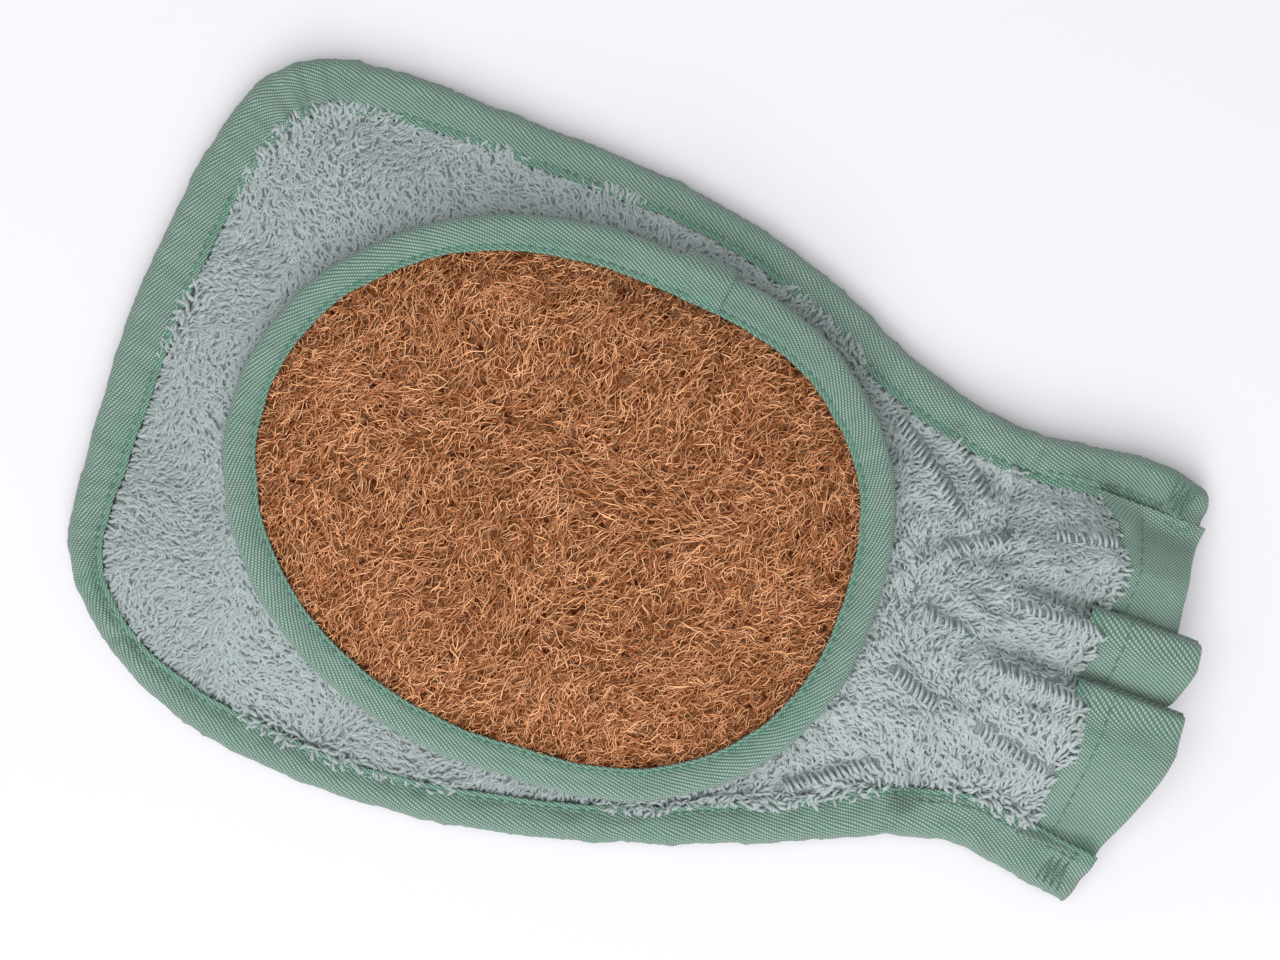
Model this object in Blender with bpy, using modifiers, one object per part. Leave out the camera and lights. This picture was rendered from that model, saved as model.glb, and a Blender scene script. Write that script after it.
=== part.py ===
"""Loofah bath mitt: a back-scrubbing mitt of two terry panels with a bound oval loofah pad.

The frame is in metres with +Z up. The mitt lies on its back panel on the XY plane, its
fingertip end towards +Y and its wrist opening towards -Y, with the loofah pad on top. The
origin is under the middle of the mitt. Everything soft is drawn from two surfaces, the
middle of the front panel and the middle of the back panel, and each layer is a sheet
lifted off one of them.
"""

import math

import bmesh
import bpy
from mathutils import Vector

MM = 0.001

# Driving dimensions, in millimetres
OUTLINE = [  # outer edge of the bound mitt, from the left wrist corner round the fingertips
    (-42.4, -112.0), (-39.8, -96.0), (-37.9, -84.0), (-41.6, -70.0), (-51.0, -50.0),
    (-60.8, -25.0), (-68.7, 0.0), (-73.6, 26.0), (-75.0, 52.0), (-72.2, 77.0),
    (-65.0, 95.0), (-54.5, 108.8), (-43.0, 115.6), (-20.0, 118.6), (6.0, 120.0),
    (32.0, 118.4), (54.0, 114.9), (66.5, 108.5), (73.0, 98.5), (75.0, 78.0),
    (74.6, 45.0), (73.6, 20.0), (70.6, 0.0), (66.4, -15.0), (60.4, -30.0),
    (54.0, -45.0), (51.0, -58.0), (50.0, -71.0), (52.3, -84.0), (54.0, -97.0),
    (50.4, -111.0),
]
CUFF_EDGE = [  # free end of the wrist band, left to right, with its two pleat steps
    (-44.0, -112.0), (-31.0, -113.2), (-20.0, -115.8), (-5.0, -119.4), (2.8, -118.4),
    (5.6, -115.2), (11.0, -115.8), (16.8, -116.2), (19.4, -111.8), (28.0, -110.8),
    (36.0, -109.2), (42.0, -111.0), (52.0, -110.0),
]
GAP = 0.35  # clearance kept between neighbouring layers
TERRY = 1.8  # thickness of a terry panel, its pile pressed flat
TAPE = 0.7  # thickness of folded bias tape
THREAD = 0.4  # thickness of sewing thread
EDGE_TAPE_WIDTH = 10.0  # what shows of the edge binding, from the outer edge inwards
SEAM_INSET = 1.7  # a seam's distance from the edge of its tape
PANEL_RISE = 6.4  # how far the front panel stands off its seam over the palm
WRIST_RISE = 8.6  # the same at the wrist, which the hand opens
RISE_START = 13.0  # the rise begins this far from the outer edge, clear of the binding
RISE_LENGTH = 26.0
PANEL_END_Y = -104.0  # raw lower edge of both panels, hidden in the wrist bands
BAND_TOP_Y = -96.0  # edge of the wrist bands on the terry
ELASTIC_Y = -70.0
ELASTIC_WIDTH = 6.0
ELASTIC_THICKNESS = 0.6
PAD_CENTRE = (0.6, 20.5)
PAD_HALF = (58.2, 71.2)  # half width and half length of the bound pad
PAD_FULLNESS = 2.4  # power of the pad's curve at its wrist end; 2 would be an ellipse
PAD_TAPE_WIDTH = 7.6
PAD_DROOP = 3.2  # how far the pad's left and right rims bend down
PAD_STATIONS = 64  # round the pad, which its tape, loofah and threads all share
PAD_TAPE_START = -2  # station at which the tape starts, counted from +X towards +Y
PAD_TAPE_LAP = 3  # stations by which the tape's folded end laps over its start
LOOFAH_THICKNESS = 6.2
LOOFAH_RIM_SHARE = 0.35  # thickness left where the tape presses the loofah
LOOFAH_RINGS = PAD_STATIONS // 8  # rings of faces from the pad's middle to its rim
BACKING = 0.5  # thickness of the cloth behind the loofah
PLEATS = [(-30.0, 4.0), (4.0, 18.0), (18.0, 41.0)]  # wrist lobes, by their left and right x
PLEAT_HEIGHT = 2.2
PUCKER_PITCH = 11.5  # of the small gathers that the elastic pulls
PUCKER_HEIGHT = 0.7

# Heights that follow from the layers
TABLE_GAP = 0.1 + THREAD + GAP  # left under the binding for its lower thread
BACK_SEAM_MIDDLE = TABLE_GAP + TAPE + GAP + TERRY / 2  # middle of the back panel there
CLOSE_SPREAD = (TERRY + GAP) / 2  # from the seam plane to a panel's middle, pressed together
BAND_LIFT = TERRY / 2 + GAP + TAPE / 2  # from a panel's middle to a wrist band leaf's
WRIST_SPREAD = BAND_LIFT + TAPE / 2 + GAP / 2  # the same where two wrist bands lie between

COLOURS = {
    "terry": ((0.29, 0.33, 0.32), 0.95),
    "bias_tape": ((0.19, 0.31, 0.25), 0.75),
    "loofah": ((0.35, 0.14, 0.065), 0.9),
    "backing_cloth": ((0.62, 0.60, 0.54), 0.9),
    "elastic": ((0.80, 0.80, 0.77), 0.8),
    "thread": ((0.15, 0.28, 0.21), 0.6),
}


def smoothstep(value):
    value = max(0.0, min(1.0, value))
    return value * value * (3.0 - 2.0 * value)


def curve_through(points, steps):
    """Points along a Catmull-Rom curve through the given ones, steps to each stretch."""
    ends = [2 * Vector(points[0]) - Vector(points[1]), 2 * Vector(points[-1]) - Vector(points[-2])]
    knots = [ends[0], *map(Vector, points), ends[1]]
    found = []
    for a, b, c, d in zip(knots, knots[1:], knots[2:], knots[3:]):
        for step in range(steps):
            t = step / steps
            found.append(
                0.5 * (2 * b + (c - a) * t + (2 * a - 5 * b + 4 * c - d) * t * t
                       + (3 * b - a - 3 * c + d) * t ** 3)
            )
    return [*found, knots[-2]]


class Path:
    """A smooth line that is read by its length, from 0 at its start to 1 at its end."""

    def __init__(self, points, steps=8):
        self.points = curve_through(points, steps)
        self.lengths = [0.0]
        for a, b in zip(self.points, self.points[1:]):
            self.lengths.append(self.lengths[-1] + (b - a).length)

    def at(self, share):
        wanted = max(0.0, min(1.0, share)) * self.lengths[-1]
        for i, end in enumerate(self.lengths[1:]):
            if wanted <= end:
                part = (wanted - self.lengths[i]) / (end - self.lengths[i])
                return self.points[i].lerp(self.points[i + 1], part)
        return self.points[-1].copy()

    def inward(self, share):
        """Unit normal to the right of the way along, which is into the mitt."""
        step = 0.002
        along = (self.at(share + step) - self.at(share - step)).normalized()
        return Vector((along.y, -along.x))

    def share_where(self, test):
        return next(i / 1000 for i in range(1001) if test(self.at(i / 1000)))


EDGE = Path(OUTLINE)
CUFF = Path(CUFF_EDGE)
PANEL_CORNERS = (
    EDGE.share_where(lambda p: p.y > PANEL_END_Y),
    EDGE.share_where(lambda p: p.y > 104.0),
    EDGE.share_where(lambda p: p.x > 0 and p.y < 104.0),
    EDGE.share_where(lambda p: p.x > 0 and p.y < PANEL_END_Y),
)


def distance_from_edge(x, y):
    """Distance from the bound edge, which runs on straight past the wrist corners."""
    here = Vector((x, max(y, OUTLINE[0][1] + 1.0)))
    best = math.inf
    for a, b in zip(EDGE.points, EDGE.points[1:]):
        side = b - a
        part = max(0.0, min(1.0, (here - a).dot(side) / side.length_squared))
        best = min(best, (here - a - side * part).length_squared)
    return math.sqrt(best)


def wristward(y, start=-40.0, end=-73.0):
    """0 over the palm, 1 at the wrist opening."""
    return smoothstep((y - start) / (end - start))


def doming(x, y):
    """0 in the binding, 1 where the front panel stands at its full height."""
    inside = (distance_from_edge(x, y) - RISE_START) / RISE_LENGTH
    return 1.0 - (1.0 - max(0.0, min(1.0, inside))) ** 2


def pleats(x):
    """Height of the wrist lobes, 0 at the pleats and 1 on each lobe's crest, which leans right."""
    for left, right in PLEATS:
        if left <= x <= right:
            share = (x - left) / (right - left)
            return math.sin(math.pi * share ** 1.2) ** 2
    return 0.0


def puckers(x, y):
    near = math.exp(-(((y - ELASTIC_Y) / 16.0) ** 2))
    return near * math.sin(2 * math.pi * x / PUCKER_PITCH)


def spread(y):
    """Half the distance between the two panels' middles where they are sewn together."""
    return CLOSE_SPREAD + (WRIST_SPREAD - CLOSE_SPREAD) * wristward(y)


def seam_height(y):
    return BACK_SEAM_MIDDLE + spread(y)


def binding_half(y):
    """From the middle of the edge binding's fold to the middle of either leaf."""
    return spread(y) + TERRY / 2 + GAP + TAPE / 2


def front_height(x, y):
    """Middle of the front panel."""
    dome = doming(x, y)
    rise = PANEL_RISE + (WRIST_RISE - PANEL_RISE) * wristward(y, -45.0, -85.0)
    folds = PLEAT_HEIGHT * (pleats(x) - 0.5) * wristward(y, -72.0, -98.0)
    folds += PUCKER_HEIGHT * puckers(x, y)
    return seam_height(y) + spread(y) + dome * (rise + folds)


def back_height(x, y):
    """Middle of the back panel, which lies flat on the table over the palm."""
    flat = doming(x, y) * (1.0 - wristward(y))
    return BACK_SEAM_MIDDLE + (TERRY / 2 - BACK_SEAM_MIDDLE) * flat


def lifted(height, x, y, lift):
    """A point off a panel's middle surface, lift along that surface's normal, in metres."""
    step = 0.4
    slope_x = (height(x + step, y) - height(x - step, y)) / (2 * step)
    slope_y = (height(x, y + step) - height(x, y - step)) / (2 * step)
    normal = Vector((-slope_x, -slope_y, 1.0)).normalized()
    return (Vector((x, y, height(x, y))) + normal * lift) * MM


# Blender helpers


def clear_scene():
    for obj in list(bpy.data.objects):
        bpy.data.objects.remove(obj, do_unlink=True)


def material(name):
    made = bpy.data.materials.get(name) or bpy.data.materials.new(name)
    made.use_nodes = True
    colour, roughness = COLOURS[name]
    shader = made.node_tree.nodes["Principled BSDF"]
    shader.inputs["Base Color"].default_value = (*colour, 1.0)
    shader.inputs["Roughness"].default_value = roughness
    shader.inputs["Metallic"].default_value = 0.0
    return made


def add_object(name, data, finish):
    obj = bpy.data.objects.new(name, data)
    bpy.data.collections["loofah_bath_mitt"].objects.link(obj)
    data.materials.append(material(finish))
    return obj


def sheet(name, finish, columns, rows, place, thickness, side=0.0, share=None, thinnest=0.0):
    """A grid laid where place(u, v) says and given its thickness by Solidify.

    share(u, v) is the share of the thickness that each point has, down to thinnest.
    """
    bm = bmesh.new()
    bmesh.ops.create_grid(bm, x_segments=columns, y_segments=rows, size=0.5)
    places = [(v.co.x + 0.5, v.co.y + 0.5) for v in bm.verts]
    for vert, (u, v) in zip(bm.verts, places):
        vert.co = place(u, v)
    mesh = bpy.data.meshes.new(name)
    bm.to_mesh(mesh)
    bm.free()
    mesh.shade_smooth()
    obj = add_object(name, mesh, finish)
    solid = obj.modifiers.new("thickness", "SOLIDIFY")
    solid.thickness = thickness * MM
    solid.offset = side
    if share:
        group = obj.vertex_groups.new(name="thickness")
        for i, (u, v) in enumerate(places):
            group.add([i], share(u, v), "REPLACE")
        solid.vertex_group = group.name
        solid.thickness_vertex_group = thinnest
    return obj


def thread(name, points, cyclic=False):
    """Sewing thread: a fine round tube through the given points."""
    curve = bpy.data.curves.new(name, "CURVE")
    curve.dimensions = "3D"
    curve.bevel_depth = THREAD / 2 * MM
    curve.bevel_resolution = 0
    curve.use_fill_caps = True
    spline = curve.splines.new("POLY")
    spline.points.add(len(points) - 1)
    for point, place in zip(spline.points, points):
        point.co = (*place, 1.0)
    spline.use_cyclic_u = cyclic
    return add_object(name, curve, "thread")


# Panels


def panel_edge(share):
    """A point of a panel's cut edge, which stops at the middle of the binding's fold."""
    at_fold = binding_half(EDGE.at(share).y) + TAPE / 2 + GAP
    edge = EDGE.at(share) + EDGE.inward(share) * at_fold
    return Vector((edge.x, max(edge.y, PANEL_END_Y)))


def panel_point(u, v):
    """A point of a panel's cut shape: u runs left to right, v from the wrist to the fingers."""
    low_left, high_left, high_right, low_right = PANEL_CORNERS
    left = panel_edge(low_left + (high_left - low_left) * v)
    right = panel_edge(low_right + (high_right - low_right) * v)
    top_left, top_right = panel_edge(high_left), panel_edge(high_right)
    bottom_left, bottom_right = panel_edge(low_left), panel_edge(low_right)
    bottom = bottom_left.lerp(bottom_right, u)
    top = panel_edge(high_left + (high_right - high_left) * u)
    corners = bottom_left.lerp(bottom_right, u).lerp(top_left.lerp(top_right, u), v)
    return left.lerp(right, u) + bottom.lerp(top, v) - corners


def make_panel(name, height, columns, rows):
    def place(u, v):
        spot = panel_point(u, v)
        return lifted(height, spot.x, spot.y, 0.0)

    sheet(name, "terry", columns, rows, place, TERRY)


# Edge binding


def binding_profile(v, width, half):
    """(inwards, up) on a tape folded round an edge, from its top leaf's edge to its lower leaf's.

    half is from the fold's middle to a leaf. Each leaf takes 1/7 of v and the fold the rest.
    """
    leaf = 1 / 7
    if v <= leaf:
        return width + (half - width) * v / leaf, half
    if v >= 1 - leaf:
        return half + (width - half) * (v - 1 + leaf) / leaf, -half
    turn = math.pi * (v - leaf) / (1 - 2 * leaf)
    return half - half * math.sin(turn), half * math.cos(turn)


def make_edge_binding():
    def place(u, v):
        base, inward = EDGE.at(u), EDGE.inward(u)
        inset, up = binding_profile(v, EDGE_TAPE_WIDTH - TAPE / 2, binding_half(base.y))
        spot = base + inward * (inset + TAPE / 2)
        return Vector((spot.x, spot.y, seam_height(base.y) + up)) * MM

    sheet("edge_binding", "bias_tape", 60, 7, place, TAPE)


def make_edge_threads():
    for name, side in (("edge_needle_thread", 1), ("edge_bobbin_thread", -1)):
        points = []
        for i in range(61):
            share = 0.004 + 0.992 * i / 60
            base = EDGE.at(share)
            spot = base + EDGE.inward(share) * (EDGE_TAPE_WIDTH - SEAM_INSET)
            away = binding_half(base.y) + TAPE / 2 + GAP + THREAD / 2
            points.append(Vector((spot.x, spot.y, seam_height(base.y) + side * away)) * MM)
        thread(name, points)


# Wrist


def cuff_edge_y(x):
    """The free end of the wrist band at x."""
    points = CUFF.points
    for a, b in zip(points, points[1:]):
        if a.x <= x <= b.x:
            return a.y + (b.y - a.y) * (x - a.x) / (b.x - a.x)
    return points[-1].y


def wrist_side(y, sign):
    """The x at which the edge binding's inner edge crosses y, on the left or right."""
    share = EDGE.share_where(lambda p: p.x * sign > 0 and (p.y - y) * sign < 0)
    return (EDGE.at(share) + EDGE.inward(share) * EDGE_TAPE_WIDTH).x


def between_bindings(steps, clearance):
    """Stations across the wrist, from one side's edge binding to the other's."""
    left = max(wrist_side(y, -1) for y in (-96.0, -100.0, -104.0, -108.0)) + clearance
    right = min(wrist_side(y, 1) for y in (-96.0, -100.0, -104.0, -108.0)) - clearance
    return [left + (right - left) * i / steps for i in range(steps + 1)]


def make_cuff_band(name, height):
    columns = 30
    stations = between_bindings(columns, 1.0)

    def place(u, v):
        x = stations[round(u * columns)]
        end = cuff_edge_y(x) + TAPE / 2
        inset, up = binding_profile(v, BAND_TOP_Y - end, BAND_LIFT)
        return lifted(height, x, end + inset, up)

    sheet(name, "bias_tape", columns, 7, place, TAPE)


def make_cuff_threads():
    xs = between_bindings(30, 1.0)[2:-2]
    y = BAND_TOP_Y - 5.0
    lift = BAND_LIFT + TAPE / 2 + GAP + THREAD / 2
    thread("cuff_front_needle_thread", [lifted(front_height, x, y, lift) for x in xs])
    thread("cuff_front_bobbin_thread", [lifted(front_height, x, y, -lift) for x in xs])
    thread("cuff_back_needle_thread", [lifted(back_height, x, y, lift) for x in xs])


def make_elastics():
    left = wrist_side(ELASTIC_Y, -1) - 1.5
    right = wrist_side(ELASTIC_Y, 1) + 1.5
    lift = TERRY / 2 + GAP + ELASTIC_THICKNESS / 2
    stitch_lift = TERRY / 2 + GAP + THREAD / 2
    turns = 44
    for side, height, sign in (("front", front_height, 1), ("back", back_height, -1)):

        def place(u, v):
            x = left + (right - left) * u
            y = ELASTIC_Y + ELASTIC_WIDTH * (v - 0.5)
            return lifted(height, x, y, -sign * lift)

        sheet(f"wrist_elastic_{side}", "elastic", 28, 1, place, ELASTIC_THICKNESS)
        stitches = []
        for i in range(turns + 1):
            x = left + 4.6 + (right - left - 9.2) * i / turns
            y = ELASTIC_Y + (1.8 if i % 2 else -1.8)
            stitches.append(lifted(height, x, y, sign * stitch_lift))
        thread(f"elastic_zigzag_{side}", stitches)


def make_corner_tacks():
    """The back-and-forth stitching that locks the edge binding's ends at the wrist corners."""
    for side, sign in (("left", -1), ("right", 1)):
        first = 0.0 if sign < 0 else 1.0
        points = []
        for i in range(9):
            share = first - sign * (0.004 + 0.0022 * i)
            base = EDGE.at(share)
            inset = EDGE_TAPE_WIDTH - SEAM_INSET - (1.4 if i % 2 else 4.2)
            spot = base + EDGE.inward(share) * inset
            up = binding_half(base.y) + TAPE / 2 + GAP + THREAD / 2
            points.append(Vector((spot.x, spot.y, seam_height(base.y) + up)) * MM)
        thread(f"corner_tack_{side}", points)


# Loofah pad


def pad_edge(angle):
    """The pad's outer edge: an ellipse that is fuller towards the wrist."""
    across, along = math.cos(angle), math.sin(angle)
    power = 2.0 + (PAD_FULLNESS - 2.0) * smoothstep(-2.0 * along)
    radius = (abs(across) ** power + abs(along) ** power) ** (-1.0 / power)
    return Vector((PAD_HALF[0] * across, PAD_HALF[1] * along)) * radius


def pad_rim(angle, inset):
    """A point inset from the pad's outer edge, at an angle round its centre."""
    along = (pad_edge(angle + 0.01) - pad_edge(angle - 0.01)).normalized()
    return Vector(PAD_CENTRE) + pad_edge(angle) + Vector((-along.y, along.x)) * inset


def pad_place(spot, lift):
    """A point lift above the pad's underside, which spans the front panel's sloping sides."""
    droop = PAD_DROOP * abs((spot.x - PAD_CENTRE[0]) / PAD_HALF[0]) ** 7
    underside = front_height(PAD_CENTRE[0], spot.y) + TERRY / 2 + GAP - droop
    return Vector((spot.x, spot.y, underside + lift)) * MM


RIM_STACK = BACKING + GAP + LOOFAH_THICKNESS * LOOFAH_RIM_SHARE  # cloth and loofah in the tape
RIM_HALF = RIM_STACK / 2 + GAP + TAPE / 2  # from the middle of the bound rim to a leaf
OVERLAP_STEP = TAPE + GAP  # how far the tape's end stands off its start


def station_angle(station):
    return 2 * math.pi * station / PAD_STATIONS


def step_out(station):
    """How far the tape steps out at a station after its start, to pass over its own start."""
    return OVERLAP_STEP * smoothstep(station - PAD_STATIONS + 1)


def make_pad_binding():
    steps = PAD_STATIONS + PAD_TAPE_LAP
    middle = OVERLAP_STEP + TAPE / 2 + RIM_HALF

    def place(u, v):
        station = u * steps
        out = step_out(station)
        inset, up = binding_profile(v, PAD_TAPE_WIDTH + out, RIM_HALF + out)
        spot = pad_rim(station_angle(PAD_TAPE_START + station), inset + TAPE / 2 - out)
        return pad_place(spot, middle + up)

    sheet("pad_binding", "bias_tape", steps, 7, place, TAPE)


def pad_disc_point(u, v):
    """A point of the pad's oval, for a square grid whose rings become rings of the oval.

    The outermost ring of faces is what the tape covers. Also gives the ring, 1 at the rim.
    """
    a, b = 2 * u - 1, 2 * v - 1
    ring = max(abs(a), abs(b))
    if ring < 1e-6:
        return Vector(PAD_CENTRE), 0.0
    angle = math.pi / 4 * (b / a) if abs(a) >= abs(b) else math.pi / 2 - math.pi / 4 * (a / b)
    if (a if abs(a) >= abs(b) else b) < 0:
        angle += math.pi
    last = 1 - 1 / LOOFAH_RINGS
    if ring > last + 1e-6:
        return pad_rim(angle, RIM_HALF + TAPE / 2 + GAP), ring
    covered = pad_rim(angle, PAD_TAPE_WIDTH + 0.8)
    return Vector(PAD_CENTRE).lerp(covered, ring / last), ring


def make_pad_layers():
    bottom = OVERLAP_STEP + TAPE + GAP

    def backing_place(u, v):
        spot, _ = pad_disc_point(u, v)
        return pad_place(spot, bottom + BACKING / 2)

    def loofah_place(u, v):
        spot, _ = pad_disc_point(u, v)
        return pad_place(spot, bottom + BACKING + GAP)

    def loofah_share(u, v):
        """Pressed thin under the tape and full a little inside it."""
        _, ring = pad_disc_point(u, v)
        return smoothstep((1 - 1 / LOOFAH_RINGS - ring) / 0.2)

    cells = 2 * LOOFAH_RINGS
    sheet("pad_backing_cloth", "backing_cloth", cells, cells, backing_place, BACKING)
    sheet("loofah_pad", "loofah", cells, cells, loofah_place, LOOFAH_THICKNESS, side=1.0,
          share=loofah_share, thinnest=LOOFAH_RIM_SHARE)


def make_pad_threads():
    top = OVERLAP_STEP + 2 * RIM_HALF + TAPE + GAP + THREAD / 2
    tops, unders = [], []
    for station in range(PAD_STATIONS):
        spot = pad_rim(station_angle(PAD_TAPE_START + station), PAD_TAPE_WIDTH - SEAM_INSET)
        over_lap = OVERLAP_STEP if station <= PAD_TAPE_LAP or station == PAD_STATIONS - 1 else 0
        tops.append(pad_place(spot, top + over_lap))
        unders.append(lifted(front_height, spot.x, spot.y, -TERRY / 2 - GAP - THREAD / 2))
    thread("pad_needle_thread", tops, cyclic=True)
    thread("pad_bobbin_thread", unders, cyclic=True)


def main():
    clear_scene()
    parts = bpy.data.collections.new("loofah_bath_mitt")
    bpy.context.scene.collection.children.link(parts)
    make_panel("back_panel", back_height, 16, 22)
    make_panel("front_panel", front_height, 30, 28)
    make_edge_binding()
    make_edge_threads()
    make_cuff_band("cuff_band_front", front_height)
    make_cuff_band("cuff_band_back", back_height)
    make_cuff_threads()
    make_elastics()
    make_corner_tacks()
    make_pad_binding()
    make_pad_layers()
    make_pad_threads()


main()
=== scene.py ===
"""Finished cloth, loofah and stitching of a loofah bath mitt, built round its CAD frame.

Everything is in metres in the frame's own axes: the mitt lies on its back on the XY plane
with its fingertips towards +Y, its wrist opening towards -Y and the loofah pad upwards.
"""

import math

import bmesh
import bpy
import numpy as np
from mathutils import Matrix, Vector, noise
from mathutils.bvhtree import BVHTree


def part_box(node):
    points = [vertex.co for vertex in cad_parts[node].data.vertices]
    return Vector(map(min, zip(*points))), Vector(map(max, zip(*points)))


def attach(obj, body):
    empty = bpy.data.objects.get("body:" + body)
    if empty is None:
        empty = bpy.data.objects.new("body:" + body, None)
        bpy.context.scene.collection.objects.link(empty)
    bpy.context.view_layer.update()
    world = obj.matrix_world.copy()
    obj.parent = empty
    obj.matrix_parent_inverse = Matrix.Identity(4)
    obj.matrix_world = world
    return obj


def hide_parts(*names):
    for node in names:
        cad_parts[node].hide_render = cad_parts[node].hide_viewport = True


bl_info = {
    "name": "Loofah bath mitt",
    "version": (1, 0, 0),
    "blender": (4, 5, 0),
    "location": "View3D > Sidebar > Mitt",
    "description": "Builds a bath mitt's terry, bias tape, loofah and stitching round its frame",
    "category": "Object",
}

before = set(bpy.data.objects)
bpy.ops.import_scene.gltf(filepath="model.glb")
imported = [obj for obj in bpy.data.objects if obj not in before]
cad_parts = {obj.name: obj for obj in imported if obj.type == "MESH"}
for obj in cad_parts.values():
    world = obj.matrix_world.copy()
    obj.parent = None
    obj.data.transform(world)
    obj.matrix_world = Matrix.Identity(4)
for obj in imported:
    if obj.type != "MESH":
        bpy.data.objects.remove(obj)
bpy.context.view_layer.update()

MM = 0.001


# Reading the frame


def frame_tree(node):
    """A tree of a frame node's faces, for rays."""
    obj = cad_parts[node]
    corners = [obj.matrix_world @ v.co for v in obj.data.vertices]
    return BVHTree.FromPolygons(corners, [face.vertices[:] for face in obj.data.polygons])


def bell(radius, step):
    """Weights of a bell curve whose spread is the radius, on samples a step apart."""
    reach = max(1, int(3 * radius / step))
    weights = np.exp(-0.5 * (np.arange(-reach, reach + 1) * step / radius) ** 2)
    return weights / weights.sum()


def blurred(grid, radius, step):
    """The grid smoothed both ways with a bell curve."""
    weights = bell(radius, step)
    reach = len(weights) // 2
    for axis in (0, 1):
        grid = np.moveaxis(grid, axis, 0)
        padded = np.pad(grid, ((reach, reach), (0, 0)), mode="edge")
        grid = sum(w * padded[i:i + grid.shape[0]] for i, w in enumerate(weights))
        grid = np.moveaxis(grid, 0, axis)
    return grid


RELIEF_MARGIN = 12 * MM  # how far heights are read past a node's box


class Relief:
    """Heights of one side of a frame node over the plane, smoothed, and read anywhere."""

    def __init__(self, node, above=True, step=1.5 * MM, smooth=3.0 * MM):
        low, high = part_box(node)
        tree = frame_tree(node)
        self.step = step
        self.start = np.array(low[:2]) - RELIEF_MARGIN
        counts = [int((high[i] - low[i] + 2 * RELIEF_MARGIN) / step) + 2 for i in (0, 1)]
        away = 1.0 if above else -1.0
        heights = np.zeros(counts)
        found = np.zeros(counts)
        for i in range(counts[0]):
            for j in range(counts[1]):
                x, y = self.start + (i * step, j * step)
                hit = tree.ray_cast(Vector((x, y, away)), Vector((0, 0, -away)))[0]
                if hit:
                    heights[i, j] = hit.z
                    found[i, j] = 1.0
        near = blurred(found, RELIEF_MARGIN, step)
        filled = blurred(heights * found, RELIEF_MARGIN, step) / np.maximum(near, 1e-9)
        filled = np.where(near > 1e-6, filled, heights[found > 0].mean())
        self.heights = blurred(np.where(found > 0, heights, filled), smooth, step)

    def __call__(self, xy):
        at = (np.asarray(xy) - self.start) / self.step
        size = np.array(self.heights.shape)
        at = np.clip(at, 0, size - 1.001)
        cell = at.astype(int)
        part = at - cell
        i, j = cell[..., 0], cell[..., 1]
        a, b = part[..., 0], part[..., 1]
        z = self.heights
        return (
            z[i, j] * (1 - a) * (1 - b) + z[i + 1, j] * a * (1 - b)
            + z[i, j + 1] * (1 - a) * b + z[i + 1, j + 1] * a * b
        )


LINE_STEP = 0.5 * MM
COARSE = 4  # distances are measured to every fourth point of a line
BLOCK = 2000  # points measured at once


class Line:
    """A smooth line in plan that is read by its length. Inwards is to the right of its way."""

    def __init__(self, points, closed=False, smooth=3.0 * MM):
        points = np.array(points, float)
        if closed:
            points = np.vstack([points, points[:1]])
        run = self.run_of(points)
        even = np.linspace(0, run[-1], int(run[-1] / LINE_STEP) + 1)
        xy = np.stack([np.interp(even, run, points[:, i]) for i in (0, 1)], 1)
        weights = bell(smooth, LINE_STEP)
        reach = len(weights) // 2
        if closed:
            padded = np.vstack([xy[-reach - 1:-1], xy, xy[1:reach + 1]])
        else:
            before = 2 * xy[0] - xy[reach:0:-1]
            after = 2 * xy[-1] - xy[-2:-reach - 2:-1]
            padded = np.vstack([before, xy, after])
        xy = np.stack([np.convolve(padded[:, i], weights, "valid") for i in (0, 1)], 1)
        self.closed = closed
        self.run = self.run_of(xy)
        self.length = self.run[-1]
        self.xy = xy
        way = np.gradient(xy, axis=0)
        if closed:
            way[0] = way[-1] = xy[1] - xy[-2]
        way /= np.linalg.norm(way, axis=1)[:, None]
        self.inwards = np.stack([way[:, 1], -way[:, 0]], 1)

    @staticmethod
    def run_of(points):
        """Length of the way from the first point to each point."""
        steps = np.linalg.norm(np.diff(points, axis=0), axis=1)
        return np.concatenate([[0.0], np.cumsum(steps)])

    def at(self, along, inset=0.0):
        """Points in plan at distances along the line, moved inwards by the inset."""
        along = np.asarray(along, float)
        inset = np.asarray(inset, float)
        spot = along % self.length if self.closed else np.clip(along, 0, self.length)
        base = np.stack([np.interp(spot, self.run, self.xy[:, i]) for i in (0, 1)], -1)
        normal = np.stack([np.interp(spot, self.run, self.inwards[:, i]) for i in (0, 1)], -1)
        return base + normal * inset[..., None]

    def way(self, along):
        """Directions of the line at distances along it."""
        spot = np.asarray(along) % self.length if self.closed else along
        normal = np.stack([np.interp(spot, self.run, self.inwards[:, i]) for i in (0, 1)], -1)
        return np.stack([-normal[..., 1], normal[..., 0]], -1)

    def distance(self, xy):
        """Distances from the line, and where along it the nearest point is."""
        xy = np.atleast_2d(xy)
        apart = np.full(len(xy), np.inf)
        where = np.zeros(len(xy))
        for start in range(0, len(xy), BLOCK):
            part = slice(start, start + BLOCK)
            gaps = np.linalg.norm(xy[part, None] - self.xy[None, ::COARSE], axis=2)
            apart[part] = gaps.min(1)
            where[part] = self.run[::COARSE][gaps.argmin(1)]
        return apart, where

    def inside(self, xy):
        """Which points the line goes round; an open line is closed straight across."""
        xy = np.atleast_2d(xy)
        a = self.xy[::COARSE]
        b = np.roll(a, -1, axis=0)
        crossings = np.zeros(len(xy), int)
        for (ax, ay), (bx, by) in zip(a, b):
            if ay == by:
                continue
            spans = (ay > xy[:, 1]) != (by > xy[:, 1])
            reach = ax + (xy[:, 1] - ay) / (by - ay) * (bx - ax)
            crossings += spans & (xy[:, 0] < reach)
        return crossings % 2 == 1


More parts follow.
